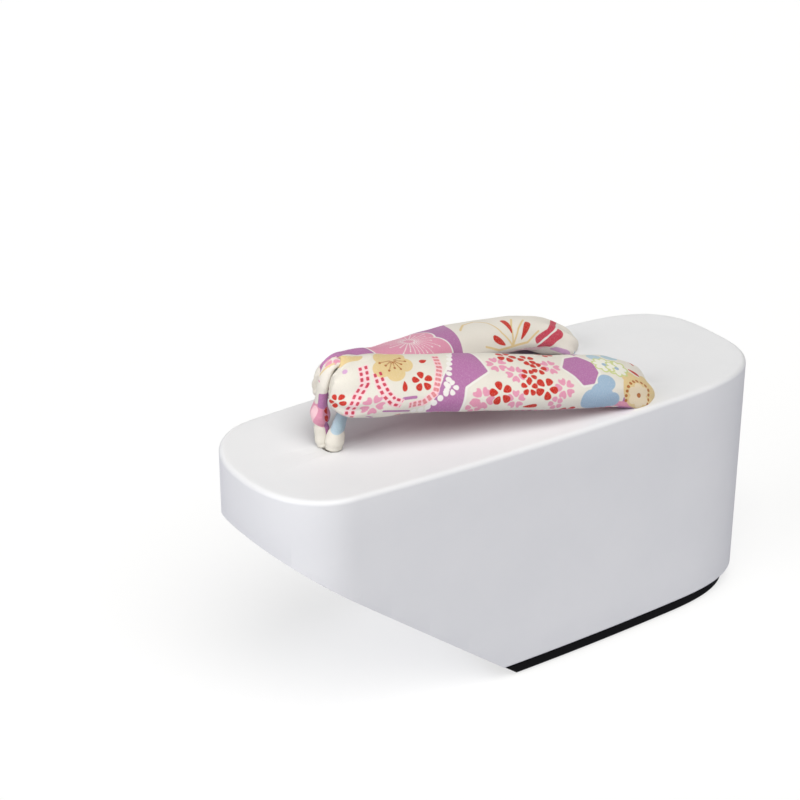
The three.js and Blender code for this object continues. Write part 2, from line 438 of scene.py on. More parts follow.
def end_tree(tree: Tree, placed: Socket, material: Socket, leave: Socket) -> None:
    """End a geometry tree: make its instances real and dress them.

    Args:
        tree: the tree.
        placed: the socket of the instances.
        material: the socket of their material.
        leave: the tree's output.
    """
    real = add_node(tree, "GeometryNodeRealizeInstances", {0: placed})
    dressed = add_node(tree, "GeometryNodeSetMaterial", {"Geometry": real.outputs[0], "Material": material})
    tree.links.new(dressed.outputs[0], leave)


def grow(piece: Piece, tree: Tree, inputs: dict) -> None:
    """Run a geometry tree on a piece and turn the result into plain mesh.

    Args:
        piece: the piece.
        tree: the geometry tree.
        inputs: values by the names of the tree's inputs, set by the sockets' identifiers.
    """
    modifier = piece.modifiers.new(tree.name, "NODES")
    modifier.node_group = tree
    for item in tree.interface.items_tree:
        if item.item_type == "SOCKET" and item.in_out == "INPUT" and item.name in inputs:
            modifier[item.identifier] = inputs[item.name]
    bake(piece)
    smooth(piece)


def use_group(tree: Tree, group: Tree, inputs: dict) -> Node:
    """Place a node group in a material."""
    return add_node(tree, "ShaderNodeGroup", inputs, node_tree=group)


def new_material(name: str) -> tuple[Material, Tree, Node]:
    """Make a material with one principled shader.

    Args:
        name: the material's name.

    Returns:
        The material, its node tree and the shader node.
    """
    material = bpy.data.materials.new(name)
    material.use_nodes = True
    tree = material.node_tree
    tree.nodes.clear()
    shader = tree.nodes.new("ShaderNodeBsdfPrincipled")
    leave = tree.nodes.new("ShaderNodeOutputMaterial")
    tree.links.new(shader.outputs[0], leave.inputs[0])
    return material, tree, shader


def bump(tree: Tree, height: Socket, strength: float, depth: float) -> Socket:
    """Turn a height into a normal.

    Args:
        tree: the material's tree.
        height: the height's socket, about 0 to 1.
        strength: how much of it shows.
        depth: the depth in millimetres that a height of 1 stands for.

    Returns:
        The normal's socket.
    """
    made = add_node(tree, "ShaderNodeBump", {"Height": height, "Strength": strength, "Distance": depth * MM})
    return made.outputs[0]


def add_grain(tree: Tree, shader: Node, place: Socket, grain: Pair, relief: Pair) -> None:
    """Give a shader a fine grain.

    Args:
        tree: the material's tree.
        shader: the shader node.
        place: the socket of the places on the piece.
        grain: the grain's fineness and detail.
        relief: how much of it shows, and its depth in millimetres.
    """
    fineness, detail = grain
    noise = add_node(tree, "ShaderNodeTexNoise", {"Vector": place, "Scale": fineness, "Detail": detail})
    tree.links.new(bump(tree, noise.outputs[0], *relief), shader.inputs["Normal"])


# Finishes


@dataclass(frozen=True)
class PlainFinish:
    """A finish of two colours that drift into each other, with a fine grain."""

    name: str
    colour: Colour
    shade: Colour
    # Fineness of the drifting patches, and how much of the shade they take
    patches: Pair
    # Fineness and detail of the grain
    grain: Pair
    # How much of the grain shows, and its depth in millimetres
    relief: Pair
    # Roughness of the colour and of the shade
    roughness: Pair
    # Further inputs of the shader, each the same all over
    inputs: tuple[tuple[str, float], ...] = ()

    def material(self, groups: Groups) -> Material:
        """Build the material.

        Args:
            groups: the shared node groups.

        Returns:
            The material.
        """
        material, tree, shader = new_material(self.name)
        place = add_node(tree, "ShaderNodeTexCoord").outputs["Object"]
        fineness, amount = self.patches
        uneven = use_group(tree, groups.mottle, {
            "Color": self.colour, "Dark": self.shade, "Vector": place, "Scale": fineness, "Amount": amount,
        })
        tree.links.new(uneven.outputs["Color"], shader.inputs["Base Color"])
        low, high = self.roughness
        shader.inputs["Roughness"].default_value = low
        if high != low:
            dull = add_node(tree, "ShaderNodeMapRange", {
                "Value": uneven.outputs["Mask"], "To Min": low, "To Max": high,
            })
            tree.links.new(dull.outputs[0], shader.inputs["Roughness"])
        add_grain(tree, shader, place, self.grain, self.relief)
        for socket, value in self.inputs:
            shader.inputs[socket].default_value = value
        return material


@dataclass(frozen=True)
class LacquerFinish(PlainFinish):
    """White satin lacquer on wood."""

    name: str = "lacquer"
    colour: Colour = linear(226, 226, 228)
    shade: Colour = linear(218, 219, 222)
    patches: Pair = (22.0, 0.5)
    grain: Pair = (420.0, 2.0)
    relief: Pair = (0.12, 0.12)
    roughness: Pair = (0.44, 0.56)
    inputs: tuple[tuple[str, float], ...] = (("Coat Weight", 0.1), ("Coat Roughness", 0.3))


@dataclass(frozen=True)
class RubberFinish(PlainFinish):
    """Matte black rubber with a fine grain."""

    name: str = "rubber"
    colour: Colour = linear(9, 9, 11)
    shade: Colour = linear(20, 20, 23)
    patches: Pair = (90.0, 0.35)
    grain: Pair = (1600.0, 3.0)
    relief: Pair = (0.35, 0.15)
    roughness: Pair = (0.68, 0.85)
    inputs: tuple[tuple[str, float], ...] = (("Specular IOR Level", 0.12),)


@dataclass(frozen=True)
class LiningFinish(PlainFinish):
    """Napped pale pink cloth under the strap."""

    name: str = "lining"
    colour: Colour = linear(232, 198, 203)
    shade: Colour = linear(216, 176, 183)
    patches: Pair = (260.0, 0.8)
    grain: Pair = (2600.0, 2.0)
    relief: Pair = (0.5, 0.2)
    roughness: Pair = (0.95, 0.95)
    inputs: tuple[tuple[str, float], ...] = (("Sheen Weight", 0.5), ("Sheen Roughness", 0.4))


@dataclass(frozen=True)
class ThreadFinish(PlainFinish):
    """Deeper pink sewing thread."""

    name: str = "thread"
    colour: Colour = linear(214, 132, 168)
    shade: Colour = linear(176, 84, 128)
    patches: Pair = (900.0, 0.7)
    grain: Pair = (4200.0, 1.0)
    relief: Pair = (0.4, 0.1)
    roughness: Pair = (0.7, 0.7)


class Ink(Enum):
    """Colours of the print, in the order in which they are laid on the purple ground."""

    CLOUD = linear(223, 218, 207)
    CREAM = linear(228, 222, 212)
    PLUM = linear(174, 112, 161)
    PALE = linear(229, 226, 220)
    BLUSH = linear(240, 198, 206)
    PINK = linear(219, 146, 171)
    BLUE = linear(176, 199, 211)
    TAN = linear(221, 196, 143)
    MILK = linear(232, 230, 219)
    SAND = linear(228, 211, 182)
    MAUVE = linear(206, 160, 200)
    RED = linear(193, 38, 18)
    ROSE = linear(216, 130, 136)
    CRIMSON = linear(196, 60, 82)
    LINE = linear(232, 228, 224)
    LEAF = linear(200, 206, 140)
    BROWN = linear(176, 104, 44)
    SLATE = linear(154, 178, 200)

    @property
    def layer(self) -> str:
        """Name of the attribute that holds this ink's distance."""
        return "ink_" + self.name.lower()


@dataclass(frozen=True)
class PrintFinish:
    """Crepe cloth with a many-coloured print."""

    name: str = "printed cloth"
    ground: Colour = Ink.PLUM.value
    # Half the width in millimetres over which an ink's edge fades out
    softness: float = 0.16
    # Colour of the painted highlight on the raised crinkles, the crinkle height from which it shows, and its
    # share there
    crinkle_highlight: Colour = linear(246, 240, 240)
    highlight_from: float = 0.45
    highlight_share: float = 0.4
    fineness: float = 1.5
    relief: Pair = (0.5, 0.28)
    sheen: float = 0.12
    roughness: float = 0.82
    specular: float = 0.25

    def material(self, groups: Groups, inks: Sequence[Ink]) -> Material:
        """Build the material.

        Args:
            groups: the shared node groups.
            inks: the inks that the piece's print has.

        Returns:
            The material.
        """
        material, tree, shader = new_material(self.name)
        along = add_node(tree, "ShaderNodeAttribute", attribute_name="along").outputs["Fac"]
        around = add_node(tree, "ShaderNodeAttribute", attribute_name="around").outputs["Fac"]
        place = add_node(tree, "ShaderNodeCombineXYZ", {0: along, 1: around}).outputs[0]
        colour = self.ground
        for ink in inks:
            distance = add_node(tree, "ShaderNodeAttribute", attribute_name=ink.layer).outputs["Fac"]
            layer = use_group(tree, groups.print_layer, {
                "Below": colour, "Ink": ink.value, "Distance": distance, "Softness": self.softness,
            })
            colour = layer.outputs[0]
        crepe = use_group(tree, groups.crepe, {"Vector": place, "Fineness": self.fineness})
        # Painted highlight: the print pales towards a near-white where the crinkle stands high
        raised = maths(tree, "SUBTRACT", crepe.outputs["Shade"], self.highlight_from)
        pale = maths(tree, "MULTIPLY", raised, self.highlight_share)
        colour = mix(tree, maths(tree, "MAXIMUM", pale, 0.0), colour, self.crinkle_highlight)
        tree.links.new(colour, shader.inputs["Base Color"])
        tree.links.new(bump(tree, crepe.outputs["Height"], *self.relief), shader.inputs["Normal"])
        shader.inputs["Roughness"].default_value = self.roughness
        shader.inputs["Sheen Weight"].default_value = self.sheen
        shader.inputs["Specular IOR Level"].default_value = self.specular
        return material


# Print

# A distance beyond any on the cloth, a place well between a line's ends, and the largest distance kept
FAR = 1e9
BETWEEN_ENDS = -9.0
KEPT_DISTANCE = 4.0


class PrintSheet:
    """Distances in millimetres from each point of a cloth to the edges of the inks printed on it."""

    def __init__(self, along: np.ndarray, around: np.ndarray) -> None:
        """Start a bare cloth from its points' places on it."""
        self.place = np.stack([along, around], -1)
        self.layers: dict[Ink, np.ndarray] = {}

    def lay(self, ink: Ink, distance: np.ndarray) -> None:
        """Add a shape to an ink, from the distance to its edge, negative inside."""
        old = self.layers.get(ink)
        self.layers[ink] = distance if old is None else np.minimum(old, distance)

    def offset(self, along: float, around: float) -> np.ndarray:
        """Vectors from a place on the cloth to each point."""
        return self.place - np.array([along, around])

    def to_line(self, corners: Corners) -> tuple[np.ndarray, np.ndarray, np.ndarray]:
        """Measure to a line with corners.

        Args:
            corners: the line's corners on the cloth.

        Returns:
            The distance to the line, how far along it the nearest place is, and how far past its ends.
        """
        best = np.full(len(self.place), FAR)
        travel = np.zeros(len(self.place))
        past = np.zeros(len(self.place))
        done = 0.0
        pairs = list(zip(corners[:-1], corners[1:]))
        for number, (start, end) in enumerate(pairs):
            way = np.subtract(end, start)
            length = float(np.hypot(*way))
            offset = self.offset(*start)
            walked = offset @ way / length
            held = np.clip(walked, 0, length)
            reach = np.linalg.norm(offset - held[:, None] * way / length, axis=1)
            nearer = reach < best
            over = np.full(len(walked), BETWEEN_ENDS)
            if number == 0:
                over = np.maximum(over, -walked)
            if number == len(pairs) - 1:
                over = np.maximum(over, walked - length)
            best = np.where(nearer, reach, best)
            travel = np.where(nearer, done + held, travel)
            past = np.where(nearer, over, past)
            done += length
        return best, travel, past

    def store(self, mesh: Mesh) -> list[Ink]:
        """Keep the distances on a mesh.

        Args:
            mesh: a mesh with one point for each place.

        Returns:
            The inks used, in the order of laying.
        """
        used = [ink for ink in Ink if ink in self.layers]
        for ink in used:
            store(mesh, ink.layer, np.clip(self.layers[ink], -KEPT_DISTANCE, KEPT_DISTANCE))
        return used


def print_cloth(mesh: Mesh, along: np.ndarray, around: np.ndarray, chart: Sequence) -> list[Ink]:
    """Print a chart of motifs on a mesh.

    Args:
        mesh: a mesh with one point for each place.
        along, around: the points' places on the flat cloth.
        chart: the motifs, in the order of laying.

    Returns:
        The inks used, in the order of laying.
    """
    store(mesh, "along", along)
    store(mesh, "around", around)
    sheet = PrintSheet(along, around)
    for motif in chart:
        motif.lay(sheet)
    return sheet.store(mesh)


@dataclass(frozen=True)
class Disc:
    """A round spot."""

    ink: Ink
    along: float
    around: float
    radius: float

    def lay(self, sheet: PrintSheet) -> None:
        """Print it."""
        sheet.lay(self.ink, np.linalg.norm(sheet.offset(self.along, self.around), axis=1) - self.radius)


def folded(
    sheet: PrintSheet, along: float, around: float, petals: int, turn: float,
) -> tuple[np.ndarray, np.ndarray]:
    """Fold the cloth around a flower's middle onto one petal.

    Args:
        sheet: the cloth.
        along, around: the flower's middle.
        petals: how many petals it has.
        turn: the angle of its first petal.

    Returns:
        How far each point lies out along the petal, and how far beside its middle line.
    """
    offset = sheet.offset(along, around)
    reach = np.linalg.norm(offset, axis=1)
    sector = 2 * math.pi / petals
    angle = np.arctan2(offset[:, 1], offset[:, 0]) - turn
    angle = (angle + sector / 2) % sector - sector / 2
    return reach * np.cos(angle), np.abs(reach * np.sin(angle))


@dataclass(frozen=True)
class Cherry:
    """A flower of separate petals with a notch at their tips."""

    ink: Ink
    along: float
    around: float
    radius: float
    turn: float = 0.3
    petals: int = 5
    # Shares of the radius: half a petal's breadth, its notch, its middle, half its length and its tip
    breadth: float = 0.31
    notch: float = 0.0
    middle: float = 0.62
    half_length: float = 0.38
    tip: float = 1.02
    # How a petal widens outwards: its share at the flower's middle, and the least and most
    widening: tuple[float, float, float] = (0.35, 0.5, 1.25)
    # Millimetres from a petal's edge for each share of its size, as a share of the radius
    steepness: float = 0.3

    def lay(self, sheet: PrintSheet) -> None:
        """Print it.

        Args:
            sheet: the cloth.
        """
        outward, sideways = folded(sheet, self.along, self.around, self.petals, self.turn)
        start, least, most = self.widening
        wide = self.breadth * self.radius * np.clip(start + outward / self.radius, least, most)
        long = self.half_length * self.radius
        size = np.hypot((outward - self.middle * self.radius) / long, sideways / wide)
        petal = (size - 1) * self.steepness * self.radius
        if self.notch:
            bite = self.notch * self.radius - np.hypot(outward - self.tip * self.radius, sideways)
            petal = np.maximum(petal, bite)
        sheet.lay(self.ink, petal)


def pink_cherry(along: float, around: float, radius: float, turn: float = 0.3) -> Cherry:
    """A pink cherry blossom with broad, notched petals."""
    return Cherry(Ink.PINK, along, around, radius, turn=turn, breadth=0.36, notch=0.2)


@dataclass(frozen=True)
class Blossom:
    """A flower of joined round petals, with its heart, veins and outline where they have an ink."""

    ink: Ink
    along: float
    around: float
    radius: float
    turn: float = 0.3
    petals: int = 5
    heart: Ink | None = None
    veins: Ink | None = None
    outline: Ink | None = None
    # Half the width of veins and outline, in millimetres
    line: float = 0.3
    # Shares of the radius: a petal's middle and radius, the core that joins them, the veins' middle
    # and half length, and the heart
    petal_middle: float = 0.6
    petal_radius: float = 0.4
    core: float = 0.45
    vein_middle: float = 0.45
    vein_half: float = 0.27
    heart_radius: float = 0.2
    # How much a petal is drawn out sideways: less than 1 makes it broader
    squeeze: float = 0.9

    def lay(self, sheet: PrintSheet) -> None:
        """Print it.

        Args:
            sheet: the cloth.
        """
        radius = self.radius
        outward, sideways = folded(sheet, self.along, self.around, self.petals, self.turn)
        breadth = math.sin(math.pi / self.petals) / math.sin(math.pi / 5)
        beside = sideways * self.squeeze / breadth
        petal = np.hypot(outward - self.petal_middle * radius, beside) - self.petal_radius * radius
        reach = np.hypot(outward, sideways)
        form = np.minimum(petal, reach - self.core * radius)
        sheet.lay(self.ink, form)
        if self.veins:
            ends = np.abs(outward - self.vein_middle * radius) - self.vein_half * radius
            sheet.lay(self.veins, np.maximum(sideways - self.line, ends))
        if self.outline:
            sheet.lay(self.outline, np.abs(form) - self.line)
        if self.heart:
            sheet.lay(self.heart, reach - self.heart_radius * radius)


@dataclass(frozen=True)
class Patch:
    """A filled shape with rounded corners."""

    ink: Ink
    corners: Corners
    round: float = 0.8

    def lay(self, sheet: PrintSheet) -> None:
        """Print it.

        Args:
            sheet: the cloth.
        """
        loop = (*self.corners, self.corners[0])
        distance, _, _ = sheet.to_line(loop)
        inside = np.zeros(len(distance), bool)
        for (start_x, start_y), (end_x, end_y) in zip(loop[:-1], loop[1:]):
            if start_y == end_y:
                continue
            spans = (sheet.place[:, 1] < start_y) != (sheet.place[:, 1] < end_y)
            crossing = start_x + (sheet.place[:, 1] - start_y) * (end_x - start_x) / (end_y - start_y)
            inside ^= spans & (sheet.place[:, 0] < crossing)
        form = np.where(inside, -distance, distance) - self.round
        sheet.lay(self.ink, form)


@dataclass(frozen=True)
class Edge:
    """A line that follows the edge of an ink laid before."""

    ink: Ink
    follows: Ink
    offset: float
    width: float

    def lay(self, sheet: PrintSheet) -> None:
        """Print it."""
        sheet.lay(self.ink, np.abs(sheet.layers[self.follows] - self.offset) - self.width / 2)


@dataclass(frozen=True)
class Stroke:
    """A brush line."""

    ink: Ink
    corners: Corners
    width: float

    def lay(self, sheet: PrintSheet) -> None:
        """Print it."""
        sheet.lay(self.ink, sheet.to_line(self.corners)[0] - self.width / 2)


@dataclass(frozen=True)
class Drop:
    """A brush mark that swells from its tail to its head."""

    ink: Ink
    tail: Pair
    head: Pair
    radius: float
    # Share of the radius at the tail, and the angle through which the rest swells
    tail_share: float = 0.25
    swell: float = 1.9

    def lay(self, sheet: PrintSheet) -> None:
        """Print it.

        Args:
            sheet: the cloth.
        """
        distance, travel, _ = sheet.to_line((self.tail, self.head))
        share = travel / math.dist(self.tail, self.head)
        size = self.tail_share + (1 - self.tail_share) * np.sin(share * self.swell)
        sheet.lay(self.ink, distance - self.radius * size)


@dataclass(frozen=True)
class Chain:
    """Two rows of short dashes side by side, on a paler line."""

    ink: Ink
    corners: Corners
    apart: float = 1.0
    step: float = 2.5
    halo: Ink = Ink.BLUSH
    halo_width: float = 0.3
    half_width: float = 0.52
    # Half a dash, as a share of the step
    dash_share: float = 0.33

    def lay(self, sheet: PrintSheet) -> None:
        """Print it.

        Args:
            sheet: the cloth.
        """
        distance, travel, past = sheet.to_line(self.corners)
        row = np.abs(distance - self.apart) - self.half_width
        dash = np.abs(travel % self.step - self.step / 2) - self.dash_share * self.step
        form = np.maximum(np.maximum(row, dash), past)
        sheet.lay(self.ink, form)
        sheet.lay(self.halo, form - self.halo_width)


@dataclass(frozen=True)
class Beads:
    """Round spots in a row."""

    ink: Ink
    corners: Corners
    radius: float
    step: float

    def lay(self, sheet: PrintSheet) -> None:
        """Print them.

        Args:
            sheet: the cloth.
        """
        distance, travel, past = sheet.to_line(self.corners)
        spot = np.hypot(distance, travel % self.step - self.step / 2) - self.radius
        sheet.lay(self.ink, np.maximum(spot, past))


@dataclass(frozen=True)
class Stamens:
    """Thin lines with a dot at the end, spread from one place."""

    ink: Ink
    along: float
    around: float
    length: float
    count: int
    start: float = 0.0
    sweep: float = 360.0
    width: float = 0.45
    dot: float = 0.55
    # Shares of the length: every other line, and the bare stretch at the middle
    short_share: float = 0.75
    bare_share: float = 0.2

    def lay(self, sheet: PrintSheet) -> None:
        """Print them.

        Args:
            sheet: the cloth.
        """
        for number in range(self.count):
            angle = math.radians(self.start + self.sweep * number / self.count)
            length = self.length * (1.0 if number % 2 else self.short_share)
            bare = self.bare_share * length
            way = (math.cos(angle), math.sin(angle))
            foot = (self.along + bare * way[0], self.around + bare * way[1])
            tip = (self.along + length * way[0], self.around + length * way[1])
            Stroke(self.ink, (foot, tip), self.width).lay(sheet)
            Disc(self.ink, *tip, self.dot).lay(sheet)


@dataclass(frozen=True)
class Band:
    """A stripe around a cord between two places along it."""

    ink: Ink
    start: float
    end: float
    wave: float = 0.8
    turns: int = 1

    def lay(self, sheet: PrintSheet) -> None:
        """Print it, with an edge that waves a whole number of times around the cord.

        Args:
            sheet: the cloth.
        """
        angle = sheet.place[:, 1] / CORD_CHART_RADIUS
        along = sheet.place[:, 0] + self.wave * np.sin(angle * self.turns + self.start)
        middle = (self.start + self.end) / 2
        sheet.lay(self.ink, np.abs(along - middle) - (self.end - self.start) / 2)


# Radius of the cord on which the loop's print is charted, in millimetres
CORD_CHART_RADIUS = 2.7

# The left arm's print, placed by millimetres along from the nose and around from the crown,
# outwards positive
LEFT_PRINT = (
    Disc(Ink.CLOUD, 24, 6, 18),
    Disc(Ink.CLOUD, 34, -12, 18),
    Disc(Ink.CLOUD, 8, 0, 22),
    Disc(Ink.CLOUD, 64, 17, 15.5),
    Disc(Ink.CLOUD, 71, -8, 15.5),
    Disc(Ink.CLOUD, 80, 14, 16),
    Disc(Ink.CLOUD, 88, -6, 14),
    Disc(Ink.CLOUD, 100, 16, 16),
    Disc(Ink.CLOUD, 112, 2, 14),
    Disc(Ink.CLOUD, 118, -12, 12),
    Disc(Ink.CREAM, 132, 4, 12),
    Disc(Ink.CREAM, 13.5, -11.5, 3),
    Patch(Ink.PLUM, (
        (52, -11.6), (56.8, -11.1), (59.6, 2.9), (49.3, 9.3), (47.6, 20.3), (35.9, 18.9), (39, 12.6),
        (42.8, 6.4), (47.6, -1),
    )),
    Patch(Ink.PLUM, (
        (96.9, -4.7), (102, -5.8), (105.8, -1), (105.8, 4.4), (102.7, 9.1), (98.6, 9.5), (96.2, 5.3),
        (93.1, 1.3),
    )),
    Edge(Ink.PALE, Ink.PLUM, 0.55, 0.7),
    Beads(Ink.LINE, (
        (48.9, -9), (45.9, 0.4), (43.5, 8.5), (42, 12), (38.5, 14.5), (34.5, 17.6), (28.7, 18.5),
    ), 1.2, 2.9),
    Chain(Ink.CRIMSON, ((11.9, -7), (11.4, 1.3), (8.5, 5.6), (6.4, 10.7), (5.9, 17.8))),
    Chain(Ink.CRIMSON, ((16.2, -2.4), (16.7, 3.2), (18, 7.6), (20.3, 11.3), (23.6, 13.1))),
    Chain(Ink.ROSE, (
        (42.6, -8), (41.9, 0.4), (40, 5.8), (38, 11.4), (33, 14.6), (27, 14.8),
    ), apart=0.6, step=2.2),
    Stroke(Ink.PLUM, ((24.3, 11.4), (29.8, 12)), 1.2),
    Stroke(Ink.PLUM, ((17.4, 14.6), (21.9, 16), (27.7, 17.8)), 0.9),
    Stroke(Ink.PLUM, ((12.4, 17), (14.4, 19)), 1.3),
    Disc(Ink.MAUVE, 5.5, -7, 1),
    Cherry(Ink.RED, 1.3, 6, 3.9, turn=0.5),
    Cherry(Ink.RED, 33.4, 6, 4.5, turn=0.95),
    Drop(Ink.RED, (25.6, 4.9), (25.2, 7.8), 1.1),
    Drop(Ink.RED, (38, -4.8), (36, -4), 1.1),
    pink_cherry(13.4, 10.9, 4.4),
    Blossom(Ink.TAN, 23.4, -4.8, 8.8, turn=math.pi / 2),
    Stamens(Ink.BROWN, 23.8, -6.2, 5.6, 8, start=-15, sweep=220),
    Stroke(Ink.TAN, ((5.2, -13.7), (10.9, -12)), 4.4),
    Cherry(Ink.LINE, 44.4, 9.6, 3.2, turn=0.1),
    Cherry(Ink.RED, 70.9, -5.8, 4.2, turn=0.1),
    Cherry(Ink.RED, 78.8, -3.6, 3.7, turn=0.7),
    Cherry(Ink.RED, 81.6, 1.7, 3.4, turn=1.3),
    Cherry(Ink.RED, 76.4, 5.4, 3.2, turn=0.4),
    Cherry(Ink.RED, 75.6, 10.6, 3.4, turn=1.0),
    Cherry(Ink.RED, 82.4, 11, 4.6, turn=0.2),
    Cherry(Ink.RED, 64, 12.7, 4.8, turn=0.75),
    Cherry(Ink.RED, 89.4, -10.6, 4, turn=0.5),
    Drop(Ink.RED, (73.8, 18.3), (78.4, 17.9), 0.9),
    pink_cherry(65.2, -0.6, 4.4, turn=0.8),
    pink_cherry(71.4, 4.6, 4.2, turn=0.5),
    pink_cherry(87, 0.7, 4.3, turn=0.2),
    pink_cherry(90, 11, 4.4, turn=0.7),
    pink_cherry(70.2, 15.2, 3.9, turn=0.9),
    Cherry(Ink.PINK, 56.8, 14.6, 4.8, turn=0.2, breadth=0.38, notch=0.2),
    Cherry(Ink.PINK, 86.4, 17, 3, turn=0.6, breadth=0.36),
    Cherry(Ink.PINK, 53.6, 18, 3.2, turn=0.6, breadth=0.36),
    Disc(Ink.SLATE, 105.6, 14.6, 5),
    Disc(Ink.SLATE, 108.4, 9.4, 3.7),
    Disc(Ink.SLATE, 101.4, 16.4, 4.3),
    Disc(Ink.SLATE, 111, 16.8, 3.3),
    Disc(Ink.SLATE, 105.4, 19.6, 4.8),
    Disc(Ink.BLUE, 110, -6.6, 3),
    Disc(Ink.BLUE, 117, -7, 3.2),
    Blossom(Ink.MILK, 111.3, -0.5, 4.8, petals=8, heart=Ink.SLATE, outline=Ink.LEAF, line=0.4),
    Blossom(Ink.MILK, 115.8, 1.6, 4.6, petals=8, heart=Ink.SLATE, outline=Ink.LEAF, turn=0.1, line=0.4),
    Disc(Ink.TAN, 123, 11.5, 7.6),
    Disc(Ink.TAN, 120, 6.4, 4),
    Disc(Ink.TAN, 131, 8, 7),
    Blossom(Ink.SAND, 123, 13.4, 5.2, petals=6, heart=Ink.BROWN),
    Beads(Ink.BROWN, (
        (117.6, 17.6), (117, 14), (117.4, 11), (119.2, 8.6), (122, 7.3), (125.2, 7.7), (127.8, 10),
        (128.8, 13.4), (128.2, 17),
    ), 0.7, 2),
    Drop(Ink.RED, (124.4, -8), (126.6, -4), 0.9),
    Drop(Ink.RED, (121.2, 1), (125.4, 2.6), 0.9),
    Stroke(Ink.PINK, ((112, 18.6), (120, 18)), 2.4),
    Blossom(Ink.CRIMSON, 46, -19, 4.5, veins=Ink.LINE),
    Cherry(Ink.RED, 100, -16, 4.4, turn=0.4),
    pink_cherry(106, -20, 4.4),
    pink_cherry(110, 24, 5),
    Cherry(Ink.RED, 93, 23, 4.4, turn=0.2),
    Cherry(Ink.RED, 24, 23, 4.4, turn=0.8),
    pink_cherry(33, 25, 4.6),
)

# The right arm's print, placed in the same way
RIGHT_PRINT = (
    Disc(Ink.CLOUD, 3, 6, 12),
    Disc(Ink.CLOUD, 13, 17, 11),
    Blossom(Ink.PINK, 39.5, -10, 20, turn=0.72, outline=Ink.LINE, line=0.4),
    Stamens(Ink.LINE, 42.5, -6, 12.5, 28, width=0.34, dot=0.36),
    Disc(Ink.CREAM, 95, -20, 31.5),
    Disc(Ink.CREAM, 131, -12, 14),
    Disc(Ink.CREAM, 116, -28, 14),
    Disc(Ink.CREAM, 132, -30, 14),
    Stroke(Ink.TAN, ((69.5, -8.5), (77, -3.6), (84.9, -1.9), (89, -5.8), (90.6, -13.6), (94.8, -19.5)), 0.9),
    Stroke(Ink.TAN, ((94.8, -19.5), (97.4, -12), (103, -6)), 0.9),
    Stroke(Ink.TAN, ((94.8, -19.5), (101, -13), (108, -8)), 0.8),
    Stroke(Ink.TAN, ((94.8, -19.5), (86, -20), (78, -18)), 0.8),
    Stroke(Ink.TAN, ((94.8, -19.5), (104, -19), (112, -15)), 0.8),
    Drop(Ink.RED, (90, -18.4), (85.4, -15.6), 1.6),
    Drop(Ink.RED, (96.2, -14.2), (97.8, -6.6), 1.4),
    Drop(Ink.RED, (100.7, -17.4), (108, -11), 1.4),
    Stroke(Ink.CRIMSON, ((126.5, -3), (121.6, -11), (117.6, -15.4), (110.2, -18.6)), 2.6),
    Stroke(Ink.CRIMSON, ((123.4, -15.3), (118.5, -19.6), (113, -21.4)), 4.6),
    Stroke(Ink.LINE, ((126, -8), (121.6, -14), (116.6, -17.8), (110.4, -20.4)), 0.8),
    Disc(Ink.SLATE, 136.6, -17.4, 0.9),
    Stroke(Ink.MAUVE, ((124, -22.5), (133, -22.5)), 3.4),
    Disc(Ink.CLOUD, 22, 20, 13),
    Disc(Ink.CLOUD, 36, 24, 12),
    Disc(Ink.CLOUD, 76, 20, 14),
    Disc(Ink.CLOUD, 92, 14, 12),
    Disc(Ink.CLOUD, 106, 22, 13),
    Disc(Ink.CREAM, 126, 14, 12),
    Cherry(Ink.RED, 20, 15, 4.4, turn=0.4),
    Cherry(Ink.RED, 36, 18, 4.5, turn=0.9),
    pink_cherry(28, 22, 4.6),
    pink_cherry(14, 21, 4.2),
    Blossom(Ink.CRIMSON, 56, 13, 9, veins=Ink.LINE, heart=Ink.TAN, outline=Ink.LINE, line=0.35),
    Stamens(Ink.LINE, 56, 13, 5.4, 12, width=0.3, dot=0.4),
    Cherry(Ink.RED, 74, 16, 4.5, turn=0.1),
    Cherry(Ink.RED, 86, 20, 4.4, turn=0.6),
    pink_cherry(80, 24, 4.2),
    pink_cherry(93, 12, 4.2, turn=0.5),
    Blossom(Ink.BLUE, 105, 17, 7.6, turn=0.2, heart=Ink.SLATE, veins=Ink.SLATE, line=0.22),
    Cherry(Ink.RED, 116, 23, 4.4, turn=0.7),
    Blossom(Ink.TAN, 122, 10, 6.4, heart=Ink.BROWN, outline=Ink.LINE),
)

# The loop's print, with two pale drops that paint a highlight on its pink bulge, placed by millimetres along
# from the end of its front leg
LOOP_PRINT = (
    Band(Ink.CLOUD, 8, 21.6, wave=0.6, turns=2),
    Band(Ink.CLOUD, 32, 41, wave=0.7, turns=3),
    Band(Ink.CREAM, 40, 57, wave=0.9, turns=2),
    Band(Ink.BLUE, 66, 82.4, wave=0.8, turns=2),
    Band(Ink.CLOUD, 78, 93),
    Patch(Ink.PLUM, (
        (10, -1), (22.4, -1), (23, 3.8), (20, 5.2), (17.4, 4.6), (15.9, 7.4), (15, 5), (12.6, 5.2), (10, 4.6),
    )),
    Patch(Ink.PLUM, ((31.2, -1), (36, -1), (36.8, 2.4), (34.4, 3.8), (31.6, 3))),
    Patch(Ink.PLUM, ((31.6, 14.6), (36, 14.4), (36.6, 18), (31, 18))),
    Drop(Ink.RED, (23.4, 0.9), (26.2, 0.4), 0.9),
    Drop(Ink.RED, (27.4, 1.2), (30, 0.7), 0.8),
    # Two pale pink drops on the side of the pink bulge towards the toe: a painted highlight, not print
    Drop(Ink.BLUSH, (23.2, 12.4), (29.6, 13.2), 1.2),
    Drop(Ink.BLUSH, (23.6, 8.4), (30, 9), 1.1),
    Stroke(Ink.TAN, ((41, 10), (48, 15)), 0.7),
    Stroke(Ink.LEAF, ((44, 4), (55, 1)), 0.8),
    pink_cherry(49, 12.6, 3.4),
    Drop(Ink.RED, (60, 4), (64, 6), 1.0),
    Drop(Ink.RED, (60, 12), (64, 10), 1.0),
)


# Toe loop


